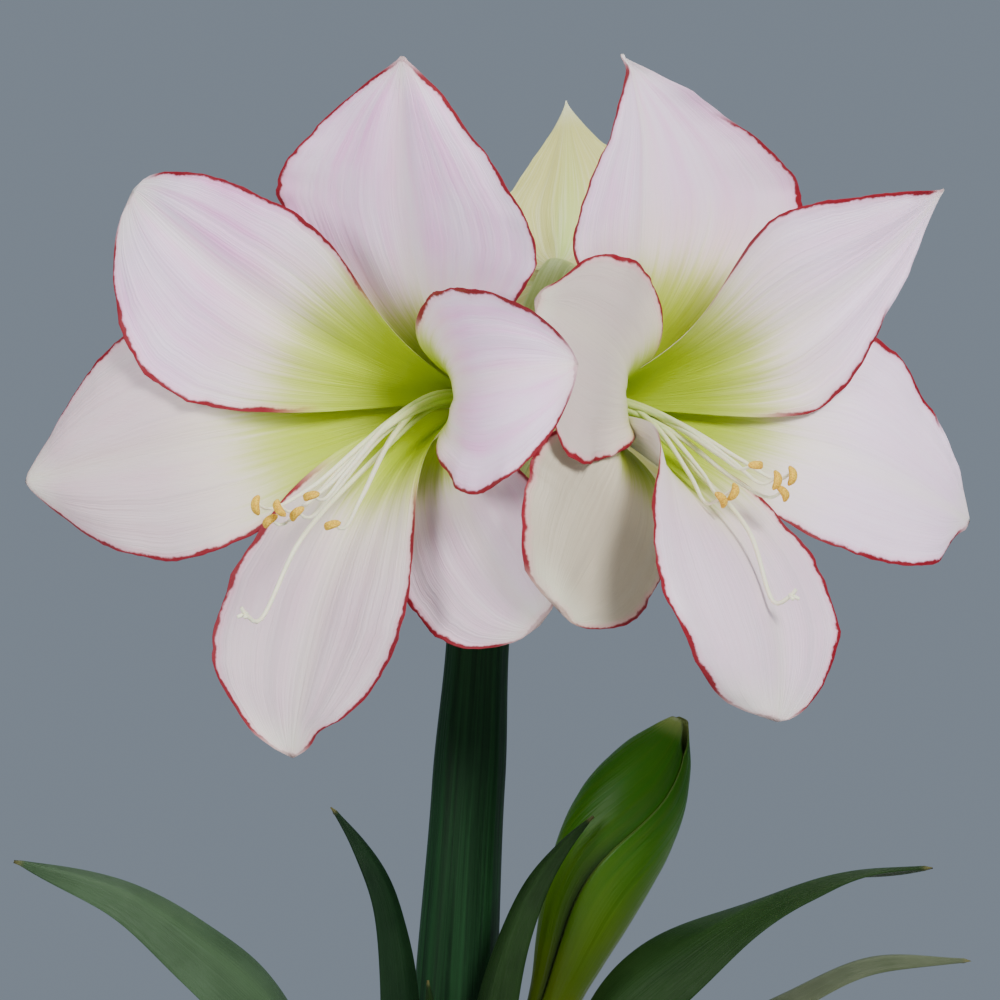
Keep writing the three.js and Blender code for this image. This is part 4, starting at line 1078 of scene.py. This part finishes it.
def bud_flowers():
    """The closed flowers, as one body with three soft lobes."""
    turn = circle(36)
    rings = []
    for s in np.linspace(0.03, 0.93, 40):
        r = max(float(evenly(BUD_RADII, s)) - TUCK - 1.15 * VALVE_THICKNESS, 0.7)
        rings.append(bud_point(s + 0 * turn, turn, r * (1 - 0.05 * (1 + np.cos(3 * turn + 5 * s)))))
    return make_object("bud_petals_inside", *ring_body(rings))


dress(bud_flowers(), "bud_flowers", bud_petals)
stalk_path = [(13, 9, LEAF_FOOT), (13, 9, 175), (15.6, 7, 215), BUD_FOOT - 12 * bud_axis,
              BUD_FOOT - 2 * GAP * bud_axis]
bud_stalk = tube("bud_stem", Route(stalk_path), lambda s: 6.2 + 0.4 * s, 48, 60)
dress(bud_stalk, "bud_stalk", bud_stalk_green)

# Leaves and bracts: straps along a route. sides are the directions across them at shares of their length,
# foot is the share of the width at the foot, and channel how deep the blade is folded


def upright(x, y):
    """The straight foot of a leaf in the bulb's neck."""
    return (x, y, LEAF_FOOT), (x, y, 170)


LEAVES = {
    "far_left": dict(
        route=[*upright(-19.4, -3), (-20.5, -6, 200), (-25, -12, 235), (-36, -20, 270),
               (-50.7, -26, 292.4), (-65, -30, 305.8), (-85.2, -34, 320.3), (-113.6, -38, 330.1)],
        sides=[(0, (0, -1, 0)), (0.3, (0, -1, 0)), (0.7, (-0.25, -0.75, -0.55)), (1, (-0.2, -0.8, -0.5))],
        width=30, foot=0.45, channel=0.32, look=leaf_painted_sheen),
    "near_left": dict(
        route=[*upright(-11.8, -11.1), (-12.5, -14.4, 205), (-12.5, -18, 250),
               (-12.2, -20, 292), (-14.6, -21, 310.6), (-17.9, -23, 322.5), (-24, -25, 333.8),
               (-31.2, -26, 343.4)],
        sides=[(0, (-0.7, 0.7, 0)), (0.5, (-0.75, -0.65, 0)), (1, (-0.6, -0.75, -0.3))],
        width=17, foot=0.7, channel=0.35, look=leaf_deep),
    "young": dict(
        route=[*upright(-3, -6), (-1.6, -8, 210), (-2.6, -9.6, 255), (-5.8, -10.6, 296)],
        sides=[(0, (-1, 0, 0)), (1, (-0.9, -0.4, 0))],
        width=12, foot=0.75, channel=0.3, look=leaf_light),
    "near_right": dict(
        route=[*upright(8.5, -11), (8, -14, 205), (8.6, -17, 250), (12.2, -18.5, 291.5),
               (21.5, -19.5, 319.4), (30, -19.5, 332), (38.3, -18.5, 340.4)],
        sides=[(0, (-0.95, 0.25, 0)), (0.5, (-0.8, 0.6, 0)), (1, (-0.6, 0.6, 0.5))],
        width=16, foot=0.75, channel=0.35, look=leaf_light),
    "right": dict(
        route=[*upright(19.2, -4), (20.2, -7, 198), (24, -12.5, 238), (33, -18.5, 270),
               (46.6, -23, 292), (74.6, -28, 312.5), (101.3, -35, 324.9), (126.3, -41, 328.6)],
        sides=[(0, (0, 1, 0)), (0.3, (0.1, 1, 0)), (0.65, (-0.3, 0.7, 0.6)), (0.86, (0, 1, 0.15)),
               (1, (0.1, 0.9, -0.35))],
        width=29, foot=0.42, channel=0.3, look=leaf_mid),
    "far_right": dict(
        route=[*upright(22.7, 1.5), (24.4, 2, 195), (31, 3, 225), (48, 5, 256),
               (70, 7, 277), (92.3, 8, 289), (114.2, 10, 298.3), (142.1, 14, 298.6)],
        sides=[(0, (0, 1, 0)), (0.4, (0, 1, 0.1)), (1, (0, 0.96, 0.28))],
        width=22, foot=0.4, channel=0.3, look=leaf_grey_painted_sheen),
}
BRACT_FORM = dict(width=13, foot=0.6, channel=0.3)
BRACTS = {
    "left": dict(
        route=[(-1.6, 3, 407), (-2.8, 4, 413), (-6, 8, 424), (-13, 14, 437), (-22, 20, 441), (-29, 24, 438)],
        sides=[(0, (0.3, -1, 0)), (1, (0.4, -0.8, 0.3))]),
    "right": dict(
        route=[(19.2, 3, 407), (21, 4, 413), (26, 9, 423), (34, 15, 431), (42, 20, 431), (48, 24, 426)],
        sides=[(0, (-0.3, -1, 0)), (1, (-0.4, -0.8, 0.3))]),
}
STRAP_WIDEST = 0.5
STRAP_TIP = 1.9
STRAP_SHARPNESS = 0.85
BRACT_HALF_THICKNESS = 0.2


def strap(name, t, rows, columns, half_thickness, seed, crumple=0.0):
    """A blade along a route, folded into a channel, with s from foot to tip and v from margin to margin."""
    s = np.linspace(0, 1, rows + 1)[:, None]
    v = np.sin(np.linspace(1, -1, columns + 1) * math.pi / 2)[None, :]
    route = Route(t["route"])
    tangent = route.tangent(s[:, 0])
    side = np.stack([along([(at, d[k]) for at, d in t["sides"]], s[:, 0]) for k in range(3)], -1)
    side = unit(side - tangent * np.sum(side * tangent, -1, keepdims=True))
    normal = np.cross(side, tangent)
    grown = t["foot"] + (1 - t["foot"]) * step(0.08, STRAP_WIDEST, s)
    beyond = np.clip((s - STRAP_WIDEST) / (1 - STRAP_WIDEST), 0, 1)
    taper = np.maximum((1 - beyond**STRAP_TIP) ** STRAP_SHARPNESS, 0.05)
    half = t["width"] / 2 * grown * taper
    half = half * (1 + 0.012 * ripple(s, 3, seed) * step(0.2, 0.5, s))
    trough = t["channel"] * half * step(0, 0.2, s) * (np.abs(v) ** 1.5 - 0.4)
    trough = trough + 0.25 * ripple(s, 4, seed + 1) * v * step(0.2, 0.5, s)
    trough = trough + crumple * ripple(v + 2 * s, 2.5, seed + 2) * step(0.15, 0.4, s)
    middle = (route.at(s[:, 0])[:, None] + side[:, None] * (half * v)[..., None]
              + normal[:, None] * trough[..., None])
    thick = half_thickness(s, v) * np.sqrt(np.maximum(1 - np.abs(v) ** 8, 0))
    return sheet(name, middle, thick, {"along": s + 0 * v, "across": v + 0 * s})


def leaf_half(s, v):
    """Half of a leaf's thickness: thick at the foot and the middle, and thin at the tip and the margins."""
    return ((2.4 - 1.2 * s) * (1 - 0.5 * np.abs(v)) + 0.2) / 2


def bract_half(s, v):
    return BRACT_HALF_THICKNESS + 0 * s * v


for n, (name, leaf) in enumerate(LEAVES.items()):
    piece = strap(f"strap_{name}", leaf, 110, 24, leaf_half, 300 + 10 * n)
    dress(piece, f"leaf_{name}", leaf["look"])
for n, (name, bract) in enumerate(BRACTS.items()):
    piece = strap(f"spathe_{name}", {**BRACT_FORM, **bract}, 60, 20, bract_half, 400 + 10 * n, crumple=0.5)
    dress(piece, f"bract_{name}", bract_paper)

# Camera, floor and light, in metres

FLOOR_RADIUS = 1.2
FLOOR_SIDES = 96
LIT_PLACE = (0.01, 0, 0.42)
camera = bpy.data.objects.new("camera", bpy.data.cameras.new("camera"))
camera.data.lens = LENS
camera.data.clip_end = 20
camera.location = Vector(CAMERA) * MM
camera.rotation_euler = (math.pi / 2, 0, 0)
bpy.context.scene.collection.objects.link(camera)
bpy.context.scene.camera = camera

floor_mesh = bpy.data.meshes.new("floor")
floor_rim = level_ring(circle(FLOOR_SIDES), FLOOR_RADIUS, 0)
floor_mesh.from_pydata(floor_rim.tolist(), [], [list(range(FLOOR_SIDES))])
floor = bpy.data.objects.new("floor", floor_mesh)
floor.location.z = -0.0005
floor_paint = Paint("floor_pale")
floor_paint.finish(floor_paint.over((0.60, 0.61, 0.62), (0.64, 0.65, 0.66), floor_paint.cloud(6, 3)), 0.9)
floor_mesh.materials.append(floor_paint.material)
bpy.context.scene.collection.objects.link(floor)


def area_light(name, place, size, power, colour):
    """A round soft light at a place, in metres, that faces the blooms."""
    lamp = bpy.data.objects.new(name, bpy.data.lights.new(name, "AREA"))
    lamp.data.shape, lamp.data.size = "DISK", size
    lamp.data.energy, lamp.data.color = power, colour
    lamp.location = place
    lamp.rotation_euler = (Vector(LIT_PLACE) - Vector(place)).to_track_quat("-Z", "Y").to_euler()
    bpy.context.scene.collection.objects.link(lamp)


area_light("key", (0.8, -1.45, 1.3), 0.6, 48, (1.0, 0.99, 0.98))
area_light("fill", (-1.4, -1.3, 0.9), 1.0, 27, (0.99, 0.98, 1.0))
area_light("top", (0.1, 0.5, 1.6), 1.0, 14, (1.0, 1.0, 1.0))

world = bpy.data.worlds.new("studio")
bpy.context.scene.world = world
world.use_nodes = True
world.node_tree.nodes["Background"].inputs["Color"].default_value = (0.36, 0.43, 0.52, 1)
world.node_tree.nodes["Background"].inputs["Strength"].default_value = 0.55
